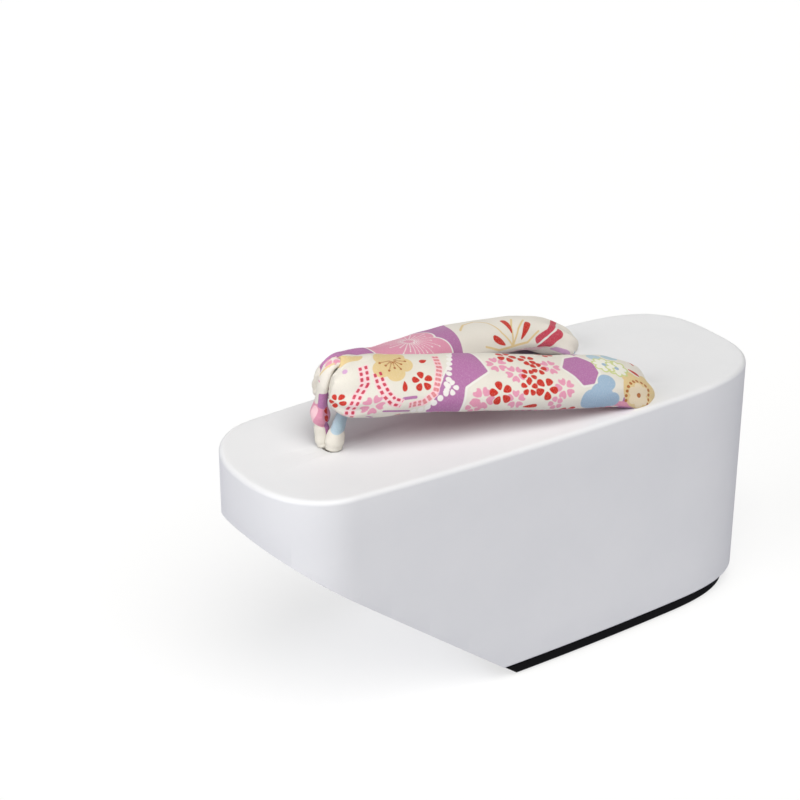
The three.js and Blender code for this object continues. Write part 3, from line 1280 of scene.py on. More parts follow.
@dataclass
class ToeLoop:
    """The doubled cord of cloth that holds the strap's nose to the block."""

    height: float = BLOCK_TOP
    ring: int = 40
    step: float = 0.3
    leg_length: float = 30.0
    leg_gap: float = 0.1
    # Soft folds of the cloth: share of the size, how many around, their twist and their beat along
    fold_depth: float = 0.035
    folds: int = 3
    fold_twist: float = 0.21
    fold_beat: float = 0.33
    # Where it presses into the strap: places looked at, the share of them in front of the strap, how far
    # behind the cord the strap is looked at, and how many of its points are moved at a time
    press_places: int = 420
    front_share: float = 0.45
    press_reach: float = 12.0
    press_batch: int = 3000
    # How many softnesses from the cord its pull ends, and what keeps its section's radius from growing large
    press_fade: float = 3.2
    press_round: float = 0.02
    # Bulges and creases of the soft cloth: place along, reach, share of the size
    puffs: tuple[tuple[float, float, float], ...] = (
        (12.9, 0.8, 0.36),
        (14.6, 1.8, 0.2),
        (21.6, 0.9, -0.22),
        (26.2, 3.2, 0.36),
        (81.4, 1.0, -0.12),
        (87.4, 1.6, 0.1),
        (89.2, 0.8, 0.34),
    )
    # The cord's line: X, Y and height over the block, then half its width and half its thickness
    rows: tuple[tuple[float, ...], ...] = (
        (-2, -75.8, -12, 1.8, 1.8),
        (-2, -75.8, -1, 1.8, 1.8),
        (-3, -76.6, 3.8, 2.9, 2.8),
        (-3.4, -77.4, 12.5, 3.1, 2.7),
        (-1.6, -77.9, 20, 2.7, 2.2),
        (0, -77.6, 27.5, 2.6, 1.9),
        (0, -74.6, 33.6, 2.8, 1.8),
        (0, -69.6, 34, 2.8, 1.8),
        (0, -66.2, 29.5, 2.6, 1.8),
        (0.4, -66.4, 20, 2.4, 2),
        (2, -72, 11.5, 2.3, 2.3),
        (2.3, -74.6, 4.4, 3.5, 3.5),
        (2, -75, -1, 1.8, 1.8),
        (2, -75, -12, 1.8, 1.8),
    )

    def __post_init__(self) -> None:
        """Lay the cord's line."""
        table = np.array(self.rows, float)
        table[:, 2] += self.height
        self.line = Line3D(table)

    def stations(self, where: np.ndarray) -> tuple[np.ndarray, np.ndarray, np.ndarray, np.ndarray]:
        """Give the cord's middle, its two section directions and its half sizes at distances along it.

        Args:
            where: the distances.

        Returns:
            The middles, the directions across and outwards, and the half sizes.
        """
        middle, along, size = self.line.at(where)
        across = unit(np.array([1.0, 0, 0]) - along[:, :1] * along)
        puff = sum(
            amount * np.exp(-(((where - place) / reach) ** 2)) for place, reach, amount in self.puffs
        )
        return middle, across, np.cross(along, across), size * (1 + puff)[:, None]

    def press_legs(self, points: np.ndarray, where: np.ndarray) -> np.ndarray:
        """Flatten the two legs where they lie against each other.

        Args:
            points: rings of points of the cord.
            where: the rings' distances along it.

        Returns:
            The moved points.
        """
        front = self.line.at(np.array([self.leg_length / 2]))[0][0]
        back = self.line.at(np.array([self.line.length - self.leg_length / 2]))[0][0]
        normal = unit((back - front) * [1, 1, 0])
        depth = (points - (front + back) / 2) @ normal
        front_leg = (where < self.leg_length)[:, None]
        back_leg = (where > self.line.length - self.leg_length)[:, None]
        over = np.where(front_leg, np.maximum(depth + self.leg_gap, 0), 0)
        over = over + np.where(back_leg, np.minimum(depth - self.leg_gap, 0), 0)
        return points - over[..., None] * normal

    def push(self, points: np.ndarray, clearance: float, softness: float) -> np.ndarray:
        """Press a soft surface away from the cord.

        Args:
            points: points of the surface.
            clearance: the room left around the cord.
            softness: how far from the cord the surface still gives way.

        Returns:
            The moved points.
        """
        middle, across, outward, size = self.stations(np.linspace(0, self.line.length, self.press_places))
        moved = points.reshape(-1, 3).copy()
        near = np.flatnonzero(moved[:, 1] < middle[:, 1].max() + self.press_reach)
        for part in np.array_split(near, max(1, len(near) // self.press_batch)):
            offset = moved[part, None, :] - middle[None]
            nearest = np.argmin((offset**2).sum(-1), axis=1)
            offset = offset[np.arange(len(part)), nearest]
            close = smooth_step(self.press_fade * softness, softness, np.linalg.norm(offset, axis=1))
            ahead = close * (nearest < self.front_share * len(middle)) * np.minimum(offset[:, 1], 0)
            offset[:, 1] -= 2 * ahead
            reach = np.maximum(np.linalg.norm(offset, axis=1), 1e-6)
            one = (offset * across[nearest]).sum(1) / reach / size[nearest, 0]
            two = (offset * outward[nearest]).sum(1) / reach / size[nearest, 1]
            radius = 1 / np.sqrt(one**2 + two**2 + self.press_round) + clearance
            pressed = radius + reach * softness / (radius + softness)
            target = middle[nearest] + offset * (np.maximum(pressed, reach) / reach)[:, None]
            moved[part] = np.where((reach < radius + softness)[:, None], target, moved[part])
        return moved.reshape(points.shape)

    def build(self, groups: Groups) -> None:
        """Make the cord, with its soft folds and print.

        Args:
            groups: the shared node groups.
        """
        where = np.linspace(0, self.line.length, int(self.line.length / self.step))
        middle, across, outward, size = self.stations(where)
        angle = np.linspace(0, 2 * math.pi, self.ring, endpoint=False)
        beat = np.sin(where * self.fold_beat)[:, None]
        wave = np.sin(self.folds * angle[None] + where[:, None] * self.fold_twist)
        fold = 1 + self.fold_depth * wave * beat
        wide = size[:, :1] * np.cos(angle) * fold
        thick = size[:, 1:2] * np.sin(angle) * fold
        points = middle[:, None] + wide[..., None] * across[:, None] + thick[..., None] * outward[:, None]
        points = self.press_legs(points, where)
        mesh = skin("toe_loop_cloth", points, ring=True, ends=True)
        along = np.concatenate([np.repeat(where, self.ring), [0, self.line.length]])
        around = np.concatenate([np.tile(angle * CORD_CHART_RADIUS, len(where)), [0, 0]])
        inks = print_cloth(mesh, along, around, LOOP_PRINT)
        piece = new_object("toe_loop_cloth", mesh)
        mesh.materials.append(PrintFinish(name="loop cloth", ground=Ink.PINK.value).material(groups, inks))
        smooth(piece)
        hand_over(piece, ["toe_loop"])


# Strap


class Side(Enum):
    """The wearer's two sides, as the sign of X."""

    LEFT = 1
    RIGHT = -1

    @property
    def word(self) -> str:
        """The side as pieces and nodes are named by it."""
        return self.name.lower()

    def hold_off_middle(self, points: np.ndarray, gap: float) -> None:
        """Keep points on this side, a gap away from the middle."""
        points[..., 0] = self.value * np.maximum(points[..., 0] * self.value, gap)


@dataclass
class ArmForm:
    """The padded arm's line and section on the left side, shared by its cover and its lining."""

    height: float = BLOCK_TOP
    # Share of the thickness above the section's middle, and how square the section is
    crown_share: float = 0.6
    power: float = 2.3
    # How far the rounding of each end reaches along the arm
    nose: float = 9.0
    rear: float = 11.5
    # Millimetres of cloth for each radian of the rounded nose
    nose_cloth: float = 9.5
    # Width and thickness of the section on which the print is charted, and the places around it
    chart_size: Pair = (27.0, 14.5)
    chart_degrees: tuple[float, float, int] = (-200, 400, 6001)
    # The arm's line: X, Y and height over the block, then its width, thickness and lean in degrees
    rows: tuple[tuple[float, ...], ...] = (
        (3.1, -77.2, 26, 20, 10, 22),
        (6.6, -62, 24.6, 24.5, 13, 46),
        (9.2, -46, 22, 26, 14, 67),
        (16, -20, 18.2, 27, 14.5, 74),
        (22.5, 7, 13.5, 27, 14.5, 75),
        (26.3, 36, 7.4, 25, 14, 73),
        (24, 56.3, -4.3, 26.2, 12.5, 58),
    )

    def __post_init__(self) -> None:
        """Lay the arm's line."""
        table = np.array(self.rows, float)
        table[:, 2] += self.height
        self.line = Line3D(table)

    @property
    def length(self) -> float:
        """Length of the arm along its middle."""
        return self.line.length

    def bend(self, values: np.ndarray) -> np.ndarray:
        """Square off a circle's cosine or sine a little."""
        return np.sign(values) * np.abs(values) ** (2 / self.power)

    def grid(self, where: np.ndarray, degrees: np.ndarray, grow: np.ndarray | float = 0.0) -> np.ndarray:
        """Points of the arm's surface.

        Args:
            where: distances from the nose.
            degrees: angles around the section: 0 at its inner edge, 90 at its crown, 180 at its outer.
            grow: how far the points stand off the form, as one number or one for each point.

        Returns:
            A grid of points, one row for each distance.
        """
        middle, along, size = self.line.at(where)
        sideways = unit(np.stack([along[:, 1], -along[:, 0], np.zeros(len(along))], -1))
        upward = np.cross(sideways, along)
        lean = np.radians(size[:, 2:3])
        crown = sideways * np.cos(lean) + upward * np.sin(lean)
        across = np.cross(crown, along)
        share = self.share(where)
        angle = np.radians(degrees)
        wide = self.bend(np.cos(angle))
        high = self.bend(np.sin(angle))
        depth = np.where(high > 0, self.crown_share, 1 - self.crown_share)
        out = (size[:, 0] / 2 * share)[:, None] * wide + grow * wide
        up = (size[:, 1] * share)[:, None] * depth * high + grow * high
        return middle[:, None] + out[..., None] * across[:, None] + up[..., None] * crown[:, None]

    def around(self, degrees: np.ndarray) -> np.ndarray:
        """Millimetres around the usual section from the crown, outwards positive.

        Args:
            degrees: angles around the section.

        Returns:
            One distance for each angle.
        """
        fine = np.linspace(*self.chart_degrees)
        angle = np.radians(fine)
        high = self.bend(np.sin(angle))
        depth = np.where(high > 0, self.crown_share, 1 - self.crown_share)
        wide, thick = self.chart_size
        outline = np.stack([wide / 2 * self.bend(np.cos(angle)), thick * depth * high], -1)
        length = travelled(outline)
        return np.interp(degrees, fine, length) - np.interp(90, fine, length)

    def share(self, where: np.ndarray) -> np.ndarray:
        """How much of its full size the arm has, with both ends rounded off.

        Args:
            where: distances from the nose.

        Returns:
            One share for each distance.
        """
        nose = np.clip(1 - where / self.nose, 0, 1)
        rear = np.clip(1 - (self.length - where) / self.rear, 0, 1)
        return np.sqrt(np.maximum(0, 1 - nose**2)) * np.sqrt(np.maximum(0, 1 - rear**2))

    def unrolled(self, where: np.ndarray, degrees: np.ndarray) -> tuple[np.ndarray, np.ndarray]:
        """Places on the flat cloth, with the rounded nose spread out.

        Args:
            where: distances from the nose.
            degrees: angles around the section.

        Returns:
            Places along and around.
        """
        turn = np.arccos(np.clip(1 - where / self.nose, 0, 1))
        along = np.where(where < self.nose, self.nose - self.nose_cloth * (math.pi / 2 - turn), where)
        return along, self.around(degrees) * self.share(where)

    def even_angles(self, start: float, end: float, count: int) -> np.ndarray:
        """Angles that are equally far apart around the section.

        Args:
            start, end: the first and last angle, in degrees.
            count: how many there are.

        Returns:
            The angles in degrees.
        """
        fine = np.linspace(start, end, 2000)
        reach = self.around(fine)
        return np.interp(np.linspace(reach[0], reach[-1], count), reach, fine)


@dataclass
class StrapArm:
    """One padded arm of the strap, from the nose to its hole in the block."""

    side: Side
    form: ArmForm
    chart: tuple
    step: float = 0.46
    wall: float = 2.0
    # The opening underneath: its angles in degrees, and how far it stays from the nose and the rear end
    open_from: float = 208.0
    open_to: float = 332.0
    hollow_front: float = 5.0
    hollow_rear: float = 22.0
    middle_gap: float = 0.12
    seat_gap: float = 0.05
    # Points around the part that shows and around the part that is opened underneath
    points_seen: int = 108
    points_under: int = 26
    # Angle of the first ring from the tip of a rounded end, and the slack in degrees of the opening's edges
    first_turn: float = 0.03
    angle_slack: float = 0.01
    # How far the nose swells forwards, and the stretch over which it does
    nose_swell: float = 1.4
    nose_stretch: float = 15.0
    # Room left around the toe loop, and how softly the arm gives way to it
    loop_room: float = 0.15
    loop_softness: float = 3.2
    # Slow swells of the padding: depth, beat along, bend around and turn
    slow_swell: tuple[float, ...] = (0.22, 0.11, 1.3, 0.4)
    # Small swells: depth, beat along and bend around
    small_swell: tuple[float, ...] = (0.08, 0.37, 2.1)
    # Tucks before the rear end: depth, count around, twist along, and where they start and are full
    tucks: tuple[float, ...] = (0.5, 7, 0.09, 34, 12)
    # Gathers at the nose: depth, count around, turn, and where they end and are full
    gathers: tuple[float, ...] = (0.3, 9, 0.8, 20, 8)
    # Soft belly of the inner edge: depth, angle and width in degrees, where it starts and is full behind
    # the nose, and where it ends and is full before the rear end
    belly: tuple[float, ...] = (1.1, -22, 24, 40, 62, 12, 30)

    @property
    def name(self) -> str:
        """Name of this arm's piece."""
        return "strap_arm_" + self.side.word

    def rings(self) -> np.ndarray:
        """Distances of the surface's rings, closer together towards the rounded ends.

        Returns:
            The distances.
        """
        form = self.form
        quarter = math.pi / 2

        def rounded(depth: float) -> np.ndarray:
            """Distances from the tip of a rounded end."""
            turn = np.linspace(self.first_turn, quarter, int(depth * quarter / self.step))[:-1]
            return depth * (1 - np.cos(turn))

        nose = rounded(form.nose)
        rear = form.length - rounded(form.rear)
        body = np.arange(form.nose, form.length - form.rear, self.step)
        return np.concatenate([nose, body, rear[::-1]])

    def softness(self, where: np.ndarray, degrees: np.ndarray) -> np.ndarray:
        """How far the padding swells or is drawn in, in millimetres, for each point of the grid.

        Args:
            where: distances from the nose.
            degrees: angles around the section.

        Returns:
            A row for each distance.
        """
        along = where[:, None]
        turn = np.radians(degrees)[None]
        end = self.form.length
        depth, beat, bend, shift = self.slow_swell
        slow = depth * np.sin(along * beat + bend * np.cos(turn)) * np.sin(turn + shift)
        depth, beat, bend = self.small_swell
        small = depth * np.sin(along * beat + bend * np.sin(turn * 2))
        depth, count, twist, start, full = self.tucks
        tuck = depth * smooth_step(end - start, end - full, along) * np.sin(turn * count + along * twist)
        depth, count, shift, start, full = self.gathers
        gather = depth * smooth_step(start, full, along) * np.sin(turn * count + shift)
        depth, angle, width, start, full, last, last_full = self.belly
        middle = smooth_step(start, full, along) * smooth_step(end - last, end - last_full, along)
        belly = depth * middle * np.exp(-((np.degrees(turn) - angle) / width) ** 2)
        return (slow + small + tuck + gather + belly) * self.form.share(where)[:, None]

    def build(self, loop: ToeLoop, groups: Groups) -> None:
        """Make the arm.

        Args:
            loop: the cord that pinches the nose.
            groups: the shared node groups.
        """
        form = self.form
        where = self.rings()
        seen = form.even_angles(self.open_to - 360, self.open_from, self.points_seen)
        under = np.linspace(self.open_from, self.open_to, self.points_under)[1:-1]
        degrees = np.concatenate([seen, under])
        points = form.grid(where, degrees, self.softness(where, degrees))
        points[..., 1] -= self.nose_swell * smooth_step(self.nose_stretch, 0, where)[:, None]
        points[..., 0] *= self.side.value
        points = loop.push(points, self.loop_room, self.loop_softness)
        self.side.hold_off_middle(points, self.middle_gap)
        mesh = skin(self.name, points, ring=True, ends=True)
        if self.side is Side.RIGHT:
            mesh.flip_normals()
        along = np.concatenate([np.repeat(where, len(degrees)), [0, form.length]])
        turn = np.concatenate([np.tile(degrees, len(where)), [90, 90]])
        store(mesh, "reach", along)
        store(mesh, "turn", turn)
        along, around = form.unrolled(along, np.where(turn > 270, turn - 360, turn))
        inks = print_cloth(mesh, along, around, self.chart)
        edit(mesh, self.open_underside)
        piece = new_object(self.name, mesh)
        mesh.materials.append(PrintFinish(name=self.name + "_cloth").material(groups, inks))
        shell = piece.modifiers.new("wall", "SOLIDIFY")
        shell.thickness = self.wall * MM
        shell.offset = -1.0
        bake(piece)
        smooth(piece)
        hand_over(piece, ["strap"])

    def open_underside(self, body: bmesh.types.BMesh) -> None:
        """Trim the arm at the block's top and open it underneath, where the lining goes.

        Args:
            body: the arm's mesh, being edited.
        """
        along = body.verts.layers.float["reach"]
        turn = body.verts.layers.float["turn"]
        last = self.form.length - self.hollow_rear
        low = self.open_from - self.angle_slack
        high = self.open_to - 360 + self.angle_slack
        dropped = [
            face for face in body.faces
            if all(self.hollow_front <= v[along] <= last for v in face.verts)
            and all(low <= v[turn] or v[turn] <= high for v in face.verts)
        ]
        bmesh.ops.delete(body, geom=dropped, context="FACES")
        seat = Vector((0, 0, (self.form.height + self.seat_gap) * MM))
        cut(body, seat, Vector((0, 0, -1)), fill=False)


@dataclass
class Lining:
    """The cloth panel that closes an arm's underside."""

    side: Side
    form: ArmForm
    thickness: float = 1.6
    first_angle: float = 211.0
    last_angle: float = 329.0
    front: float = 5.3
    rear: float = 22.3
    middle_gap: float = 1.3
    seat_gap: float = 0.35
    step: float = 0.8
    columns: int = 40
    # How far the middle of the panel is drawn in
    quilt: float = 0.25
    loop_room: float = 2.4
    loop_softness: float = 2.0
    # The seams: how far in from the ends and, in degrees, from the edges, and how far off the cloth
    seam_margin: float = 4.0
    seam_angle: float = 5.0
    seam_step: float = 0.5
    seam_lift: float = 0.05

    @property
    def name(self) -> str:
        """Name of this panel's piece."""
        return "strap_lining_" + self.side.word

    def settle(self, points: np.ndarray, loop: ToeLoop) -> np.ndarray:
        """Bring points of the left side onto this side, clear of the loop, the middle and the block.

        Args:
            points: the points, which are changed.
            loop: the toe loop.

        Returns:
            The points in their places.
        """
        points[..., 0] *= self.side.value
        points = loop.push(points, self.loop_room, self.loop_softness)
        self.side.hold_off_middle(points, self.middle_gap)
        points[..., 2] = np.maximum(points[..., 2], self.form.height + self.seat_gap)
        return points

    def build(self, loop: ToeLoop, material: Material) -> None:
        """Make the panel.

        Args:
            loop: the toe loop.
            material: the panel's cloth.
        """
        where = np.arange(self.front, self.form.length - self.rear, self.step)
        angles = np.linspace(self.first_angle, self.last_angle, self.columns)
        quilt = -self.quilt * np.sin(np.linspace(0, math.pi, len(angles)))
        outer = self.form.grid(where, angles, quilt)
        inner = self.form.grid(where, angles[::-1], -self.thickness)
        points = self.settle(np.concatenate([outer, inner], axis=1), loop)
        mesh = skin(self.name, points, ring=True, ends=True)
        if self.side is Side.RIGHT:
            mesh.flip_normals()
        piece = new_object(self.name, mesh)
        mesh.materials.append(material)
        smooth(piece)
        hand_over(piece, ["strap_under_" + self.side.word])

    def seams(self, loop: ToeLoop) -> list[np.ndarray]:
        """Lines along both edges of the panel, where it is sewn.

        Args:
            loop: the toe loop.

        Returns:
            The two lines.
        """
        last = self.form.length - self.rear - self.seam_margin
        where = np.arange(self.front + self.seam_margin, last, self.seam_step)
        return [
            self.settle(self.form.grid(where, np.array([angle]), self.seam_lift), loop)[:, 0]
            for angle in (self.first_angle + self.seam_angle, self.last_angle - self.seam_angle)
        ]


# Sewing


@dataclass
class Stitching:
    """Rows of short stitches along seams."""

    step: float = 2.6
    length: float = 1.7
    thickness: float = 0.42
    # Least and most share of the length that a stitch has, and the seed that deals them out
    uneven: Pair = (0.88, 1.08)
    seed: int = 4

    def tree(self) -> Tree:
        """Nodes that set a stitch at each step of a line.

        Returns:
            The geometry tree.
        """
        tree, takes, gives = start_tree(
            "stitches",
            {
                "Geometry": Kind.GEOMETRY, "Step": Kind.NUMBER, "Length": Kind.NUMBER,
                "Thickness": Kind.NUMBER, "Thread": Kind.MATERIAL,
            },
            {"Geometry": Kind.GEOMETRY},
            "GeometryNodeTree",
        )
        line = add_node(tree, "GeometryNodeMeshToCurve", {"Mesh": takes["Geometry"]})
        spaced = add_node(tree, "GeometryNodeResampleCurve", {
            "Curve": line.outputs[0], "Length": takes["Step"],
        }, mode="LENGTH")
        stitch = add_node(tree, "GeometryNodeMeshUVSphere", {"Segments": 10, "Rings": 7, "Radius": 0.5})
        tangent = add_node(tree, "GeometryNodeInputTangent").outputs[0]
        turned = add_node(tree, "FunctionNodeAlignRotationToVector", {"Vector": tangent}, axis="Z")
        least, most = self.uneven
        share = add_node(tree, "FunctionNodeRandomValue", {
            2: least, 3: most, "Seed": self.seed,
        }, data_type="FLOAT")
        long = maths(tree, "MULTIPLY", takes["Length"], share.outputs[1])
        size = add_node(tree, "ShaderNodeCombineXYZ", {0: takes["Thickness"], 1: takes["Thickness"], 2: long})
        placed = add_node(tree, "GeometryNodeInstanceOnPoints", {
            "Points": spaced.outputs[0], "Instance": stitch.outputs[0], "Rotation": turned.outputs[0],
            "Scale": size.outputs[0],
        })
        end_tree(tree, placed.outputs[0], takes["Thread"], gives["Geometry"])
        return tree

    def build(
        self, name: str, seams: list[np.ndarray], nodes: Sequence[str], tree: Tree, thread: Material,
    ) -> None:
        """Sew along seams.

        Args:
            name: the piece's name.
            seams: lines of points in millimetres.
            nodes: the solids that the stitches belong to.
            tree: the stitch nodes.
            thread: the thread's material.
        """
        starts = np.cumsum([0] + [len(seam) for seam in seams])
        edges = [
            (int(start) + number, int(start) + number + 1)
            for start, seam in zip(starts, seams) for number in range(len(seam) - 1)
        ]
        mesh = bpy.data.meshes.new(name)
        mesh.from_pydata((np.vstack(seams) * MM).tolist(), edges, [])
        piece = new_object(name, mesh)
        grow(piece, tree, {
            "Step": self.step * MM, "Length": self.length * MM, "Thickness": self.thickness * MM,
            "Thread": thread,
        })
        hand_over(piece, nodes)


# Block and sole


@dataclass
class BlockForm:
    """The outline that the block and the sole share, and the slant under the toe."""

    length: float = 230.0
    width: float = 82.7
    height: float = BLOCK_TOP
    # How far the sides bow out, and the place along Y where they are widest
    bow: Pair = (4.7, 9.5)
    # Depth and roundness of each end
    toe: Pair = (27.4, 2.25)
    heel: Pair = (51.2, 3.04)
    slant_start: float = -13.7
    slant_rise: float = 0.771
    # Points drawn along each end and each side, and then kept evenly along half the outline
    end_points: int = 400
    side_points: int = 200
    steps: int = 300
    # Rings over a rounded edge and up the wall, and how far in from the edge the flat faces have rings
    round_rings: int = 8
    wall_rings: int = 8
    flat_rings: Pair = (9, 2)

    def __post_init__(self) -> None:
        """Draw the outline."""
        angle = np.linspace(0, math.pi / 2, self.end_points)

        def quarter(depth: float, power: float) -> np.ndarray:
            """Shares of the half width and distances in from the tip of one end."""
            across = np.sin(angle) ** (2 / power)
            return np.stack([across, depth * (1 - np.cos(angle) ** (2 / power))], -1)

        toe = quarter(*self.toe) - [0, self.length / 2]
        heel = (quarter(*self.heel) * [1, -1] + [0, self.length / 2])[::-1]
        middle = np.linspace(toe[-1, 1], heel[0, 1], self.side_points)[1:-1]
        side = np.vstack([toe, np.stack([np.ones(len(middle)), middle], -1), heel])
        bow, widest = self.bow
        side[:, 0] *= self.width / 2 - bow * ((side[:, 1] - widest) / (self.length / 2)) ** 2
        reach = travelled(side)
        even = np.linspace(0, reach[-1], self.steps + 1)
        side = np.stack([np.interp(even, reach, column) for column in side.T], -1)
        self.points = np.vstack([side, side[-2:0:-1] * [-1, 1]])
        along = unit(np.roll(self.points, -1, axis=0) - np.roll(self.points, 1, axis=0))
        self.out = np.stack([along[:, 1], -along[:, 0]], -1)

    def ring(self, height: float, inset: Pair, more: float) -> np.ndarray:
        """The outline at a height, drawn in by an inset for its sides and heel, and by more all round.

        Args:
            height: the height over the floor.
            inset: the insets at the sides and at the heel.
            more: the further inset.

        Returns:
            The ring's points.
        """
        side, heel = inset
        drawn_in = side + (heel - side) * np.maximum(0, self.out[:, 1]) + more
        flat = self.points - self.out * drawn_in[:, None]
        return np.column_stack([flat, np.full(len(flat), height)])

    def half_width(self, along: np.ndarray, inset: Pair, more: float) -> np.ndarray:
        """Half the width at places along Y, on the floor, of the outline drawn in."""
        side = self.ring(0, inset, more)[: self.steps + 1]
        return np.interp(along, side[:, 1], side[:, 0])

    def slab(self, name: str, bottom: float, top: float, inset: Pair, rounds: Pair) -> Mesh:
        """Make a slab of the outline with rounded edges and the slant cut off.

        Args:
            name: the mesh's name.
            bottom, top: its heights.
            inset: how far it is drawn in from the block's outline, at its sides and at the heel.
            rounds: the radii of its bottom and top edges.

        Returns:
            The mesh.
        """
        low, high = rounds
        angle = np.linspace(0, math.pi / 2, self.round_rings)
        wall = np.linspace(bottom + low, top - high, self.wall_rings)[1:-1]
        places = [(bottom, low + extra) for extra in self.flat_rings]
        places += [(bottom + low * (1 - math.cos(a)), low * (1 - math.sin(a))) for a in angle]
        places += [(height, 0) for height in wall]
        places += [(top - high * (1 - math.cos(a)), high * (1 - math.sin(a))) for a in angle[::-1]]
        places += [(top, high + extra) for extra in self.flat_rings[::-1]]
        rings = [self.ring(height, inset, more) for height, more in places]
        mesh = skin(name, np.array(rings), ring=True, ends=True)
        place = Vector((0, self.slant_start * MM, 0))
        away = Vector((0, -self.slant_rise, -1)).normalized()
        edit(mesh, lambda body: cut(body, place, away, fill=True))
        return mesh


# Edges that turn by more than the first angle are rounded, and those left over the second are shaded sharp
ROUND_FROM = math.radians(28)
SHARP_FROM = math.radians(50)


def soften(piece: Piece, width: float) -> None:
    """Round a piece's sharp edges.

    Args:
        piece: the piece.
        width: how far the rounding reaches from the edge, in millimetres.
    """
    rounding = piece.modifiers.new("rounding", "BEVEL")
    rounding.width = width * MM
    rounding.segments = 3
    rounding.limit_method = "ANGLE"
    rounding.angle_limit = ROUND_FROM
    rounding.use_clamp_overlap = True
    bake(piece)
    smooth(piece)
    piece.data.set_sharp_from_angle(angle=SHARP_FROM)


@dataclass(frozen=True)
class Hole:
    """A hole in the block's top: its place, its half sizes and its depth."""

    across: float
    along: float
    half_width: float
    half_length: float
    depth: float


@dataclass
class Block:
    """The tall lacquered block with the holes for the strap's ends."""

    form: BlockForm
    bottom: float = 6.0
    rounds: Pair = (1.0, 2.0)
    edge_round: float = 0.8
    hole_sides: int = 48
    holes: tuple[Hole, ...] = (
        Hole(0, -75.4, 4.1, 2.9, 15),
        Hole(25, 50, 5.2, 5.2, 16),
        Hole(-25, 50, 5.2, 5.2, 16),
    )

    def bore(self, hole: Hole) -> Piece:
        """Make the cutter of one hole.

        Args:
            hole: the hole.

        Returns:
            The cutter.
        """
        mesh = bpy.data.meshes.new("bore")
        body = bmesh.new()
        bmesh.ops.create_cone(
            body, cap_ends=True, segments=self.hole_sides, radius1=MM, radius2=MM, depth=2 * hole.depth * MM,
        )
        bmesh.ops.scale(body, verts=body.verts, vec=(hole.half_width, hole.half_length, 1))
        place = Vector((hole.across, hole.along, self.form.height)) * MM
        bmesh.ops.translate(body, verts=body.verts, vec=place)
        body.to_mesh(mesh)
        body.free()
        return new_object("bore", mesh)

    def build(self, material: Material) -> None:
        """Make the block.

        Args:
            material: its lacquer.
        """
        mesh = self.form.slab("block_lacquered", self.bottom, self.form.height, (0, 0), self.rounds)
        piece = new_object("block_lacquered", mesh)
        cutters = [self.bore(hole) for hole in self.holes]
        for cutter in cutters:
            bored = piece.modifiers.new("hole", "BOOLEAN")
            bored.object = cutter
            bored.operation = "DIFFERENCE"
            bored.solver = "EXACT"
        bake(piece)
        for cutter in cutters:
            bpy.data.objects.remove(cutter)
        soften(piece, self.edge_round)
        piece.data.materials.clear()
        piece.data.materials.append(material)
        hand_over(piece, ["block"])


@dataclass
class Sole:
    """The rubber sole under the block, with low ribs across its underside."""

    form: BlockForm
    top: float = 5.7
    inset: Pair = (1.4, 4.4)
    edge: float = 0.6
    edge_round: float = 0.3
    rib: float = 0.75
    rib_step: float = 4.0
    rib_margin: float = 4.5
    # How far behind the slant the ribs start, and the least half width that gets one
    rib_start: float = 5.0
    least_half: float = 8.0

    def build(self, material: Material) -> None:
        """Make the slab.

        Args:
            material: its rubber.
        """
        mesh = self.form.slab("sole_rubber", self.rib, self.top, self.inset, (self.edge, self.edge))
        piece = new_object("sole_rubber", mesh)
        mesh.materials.append(material)
        soften(piece, self.edge_round)
        hand_over(piece, ["sole"])

    def tree(self) -> Tree:
        """Nodes that lay a half-round rib across at each point, as long as its half width says.

        Returns:
            The geometry tree.
        """
        tree, takes, gives = start_tree(
            "ribs",
            {"Geometry": Kind.GEOMETRY, "Radius": Kind.NUMBER, "Rubber": Kind.MATERIAL},
            {"Geometry": Kind.GEOMETRY},
            "GeometryNodeTree",
        )
        bar = add_node(tree, "GeometryNodeMeshCylinder", {
            "Vertices": 16, "Radius": takes["Radius"], "Depth": 2.0, "Side Segments": 6,
        })
        lying = add_node(tree, "GeometryNodeTransform", {
            "Geometry": bar.outputs[0], "Rotation": (0, math.pi / 2, 0),
        })
        half = add_node(tree, "GeometryNodeInputNamedAttribute", {
            "Name": "half_width",
        }, data_type="FLOAT")
        size = add_node(tree, "ShaderNodeCombineXYZ", {0: half.outputs[0], 1: 1.0, 2: 1.0})
        placed = add_node(tree, "GeometryNodeInstanceOnPoints", {
            "Points": takes["Geometry"], "Instance": lying.outputs[0], "Scale": size.outputs[0],
        })
        end_tree(tree, placed.outputs[0], takes["Rubber"], gives["Geometry"])
        return tree

    def build_ribs(self, material: Material) -> None:
        """Make the ribs.

        Args:
            material: their rubber.
        """
        last = self.form.length / 2 - self.inset[1] - self.rib_margin
        along = np.arange(self.form.slant_start + self.rib_start, last, self.rib_step)
        half = self.form.half_width(along, self.inset, self.rib_margin)
        wide = half > self.least_half
        along = along[wide]
        half = half[wide]
        mesh = bpy.data.meshes.new("sole_ribs")
        places = np.column_stack([np.zeros(len(along)), along, np.full(len(along), self.rib)])
        mesh.from_pydata((places * MM).tolist(), [], [])
        store(mesh, "half_width", half * MM)
        piece = new_object("sole_ribs", mesh)
        grow(piece, self.tree(), {"Radius": self.rib * MM, "Rubber": material})
        hand_over(piece, ["sole"])


# Studio


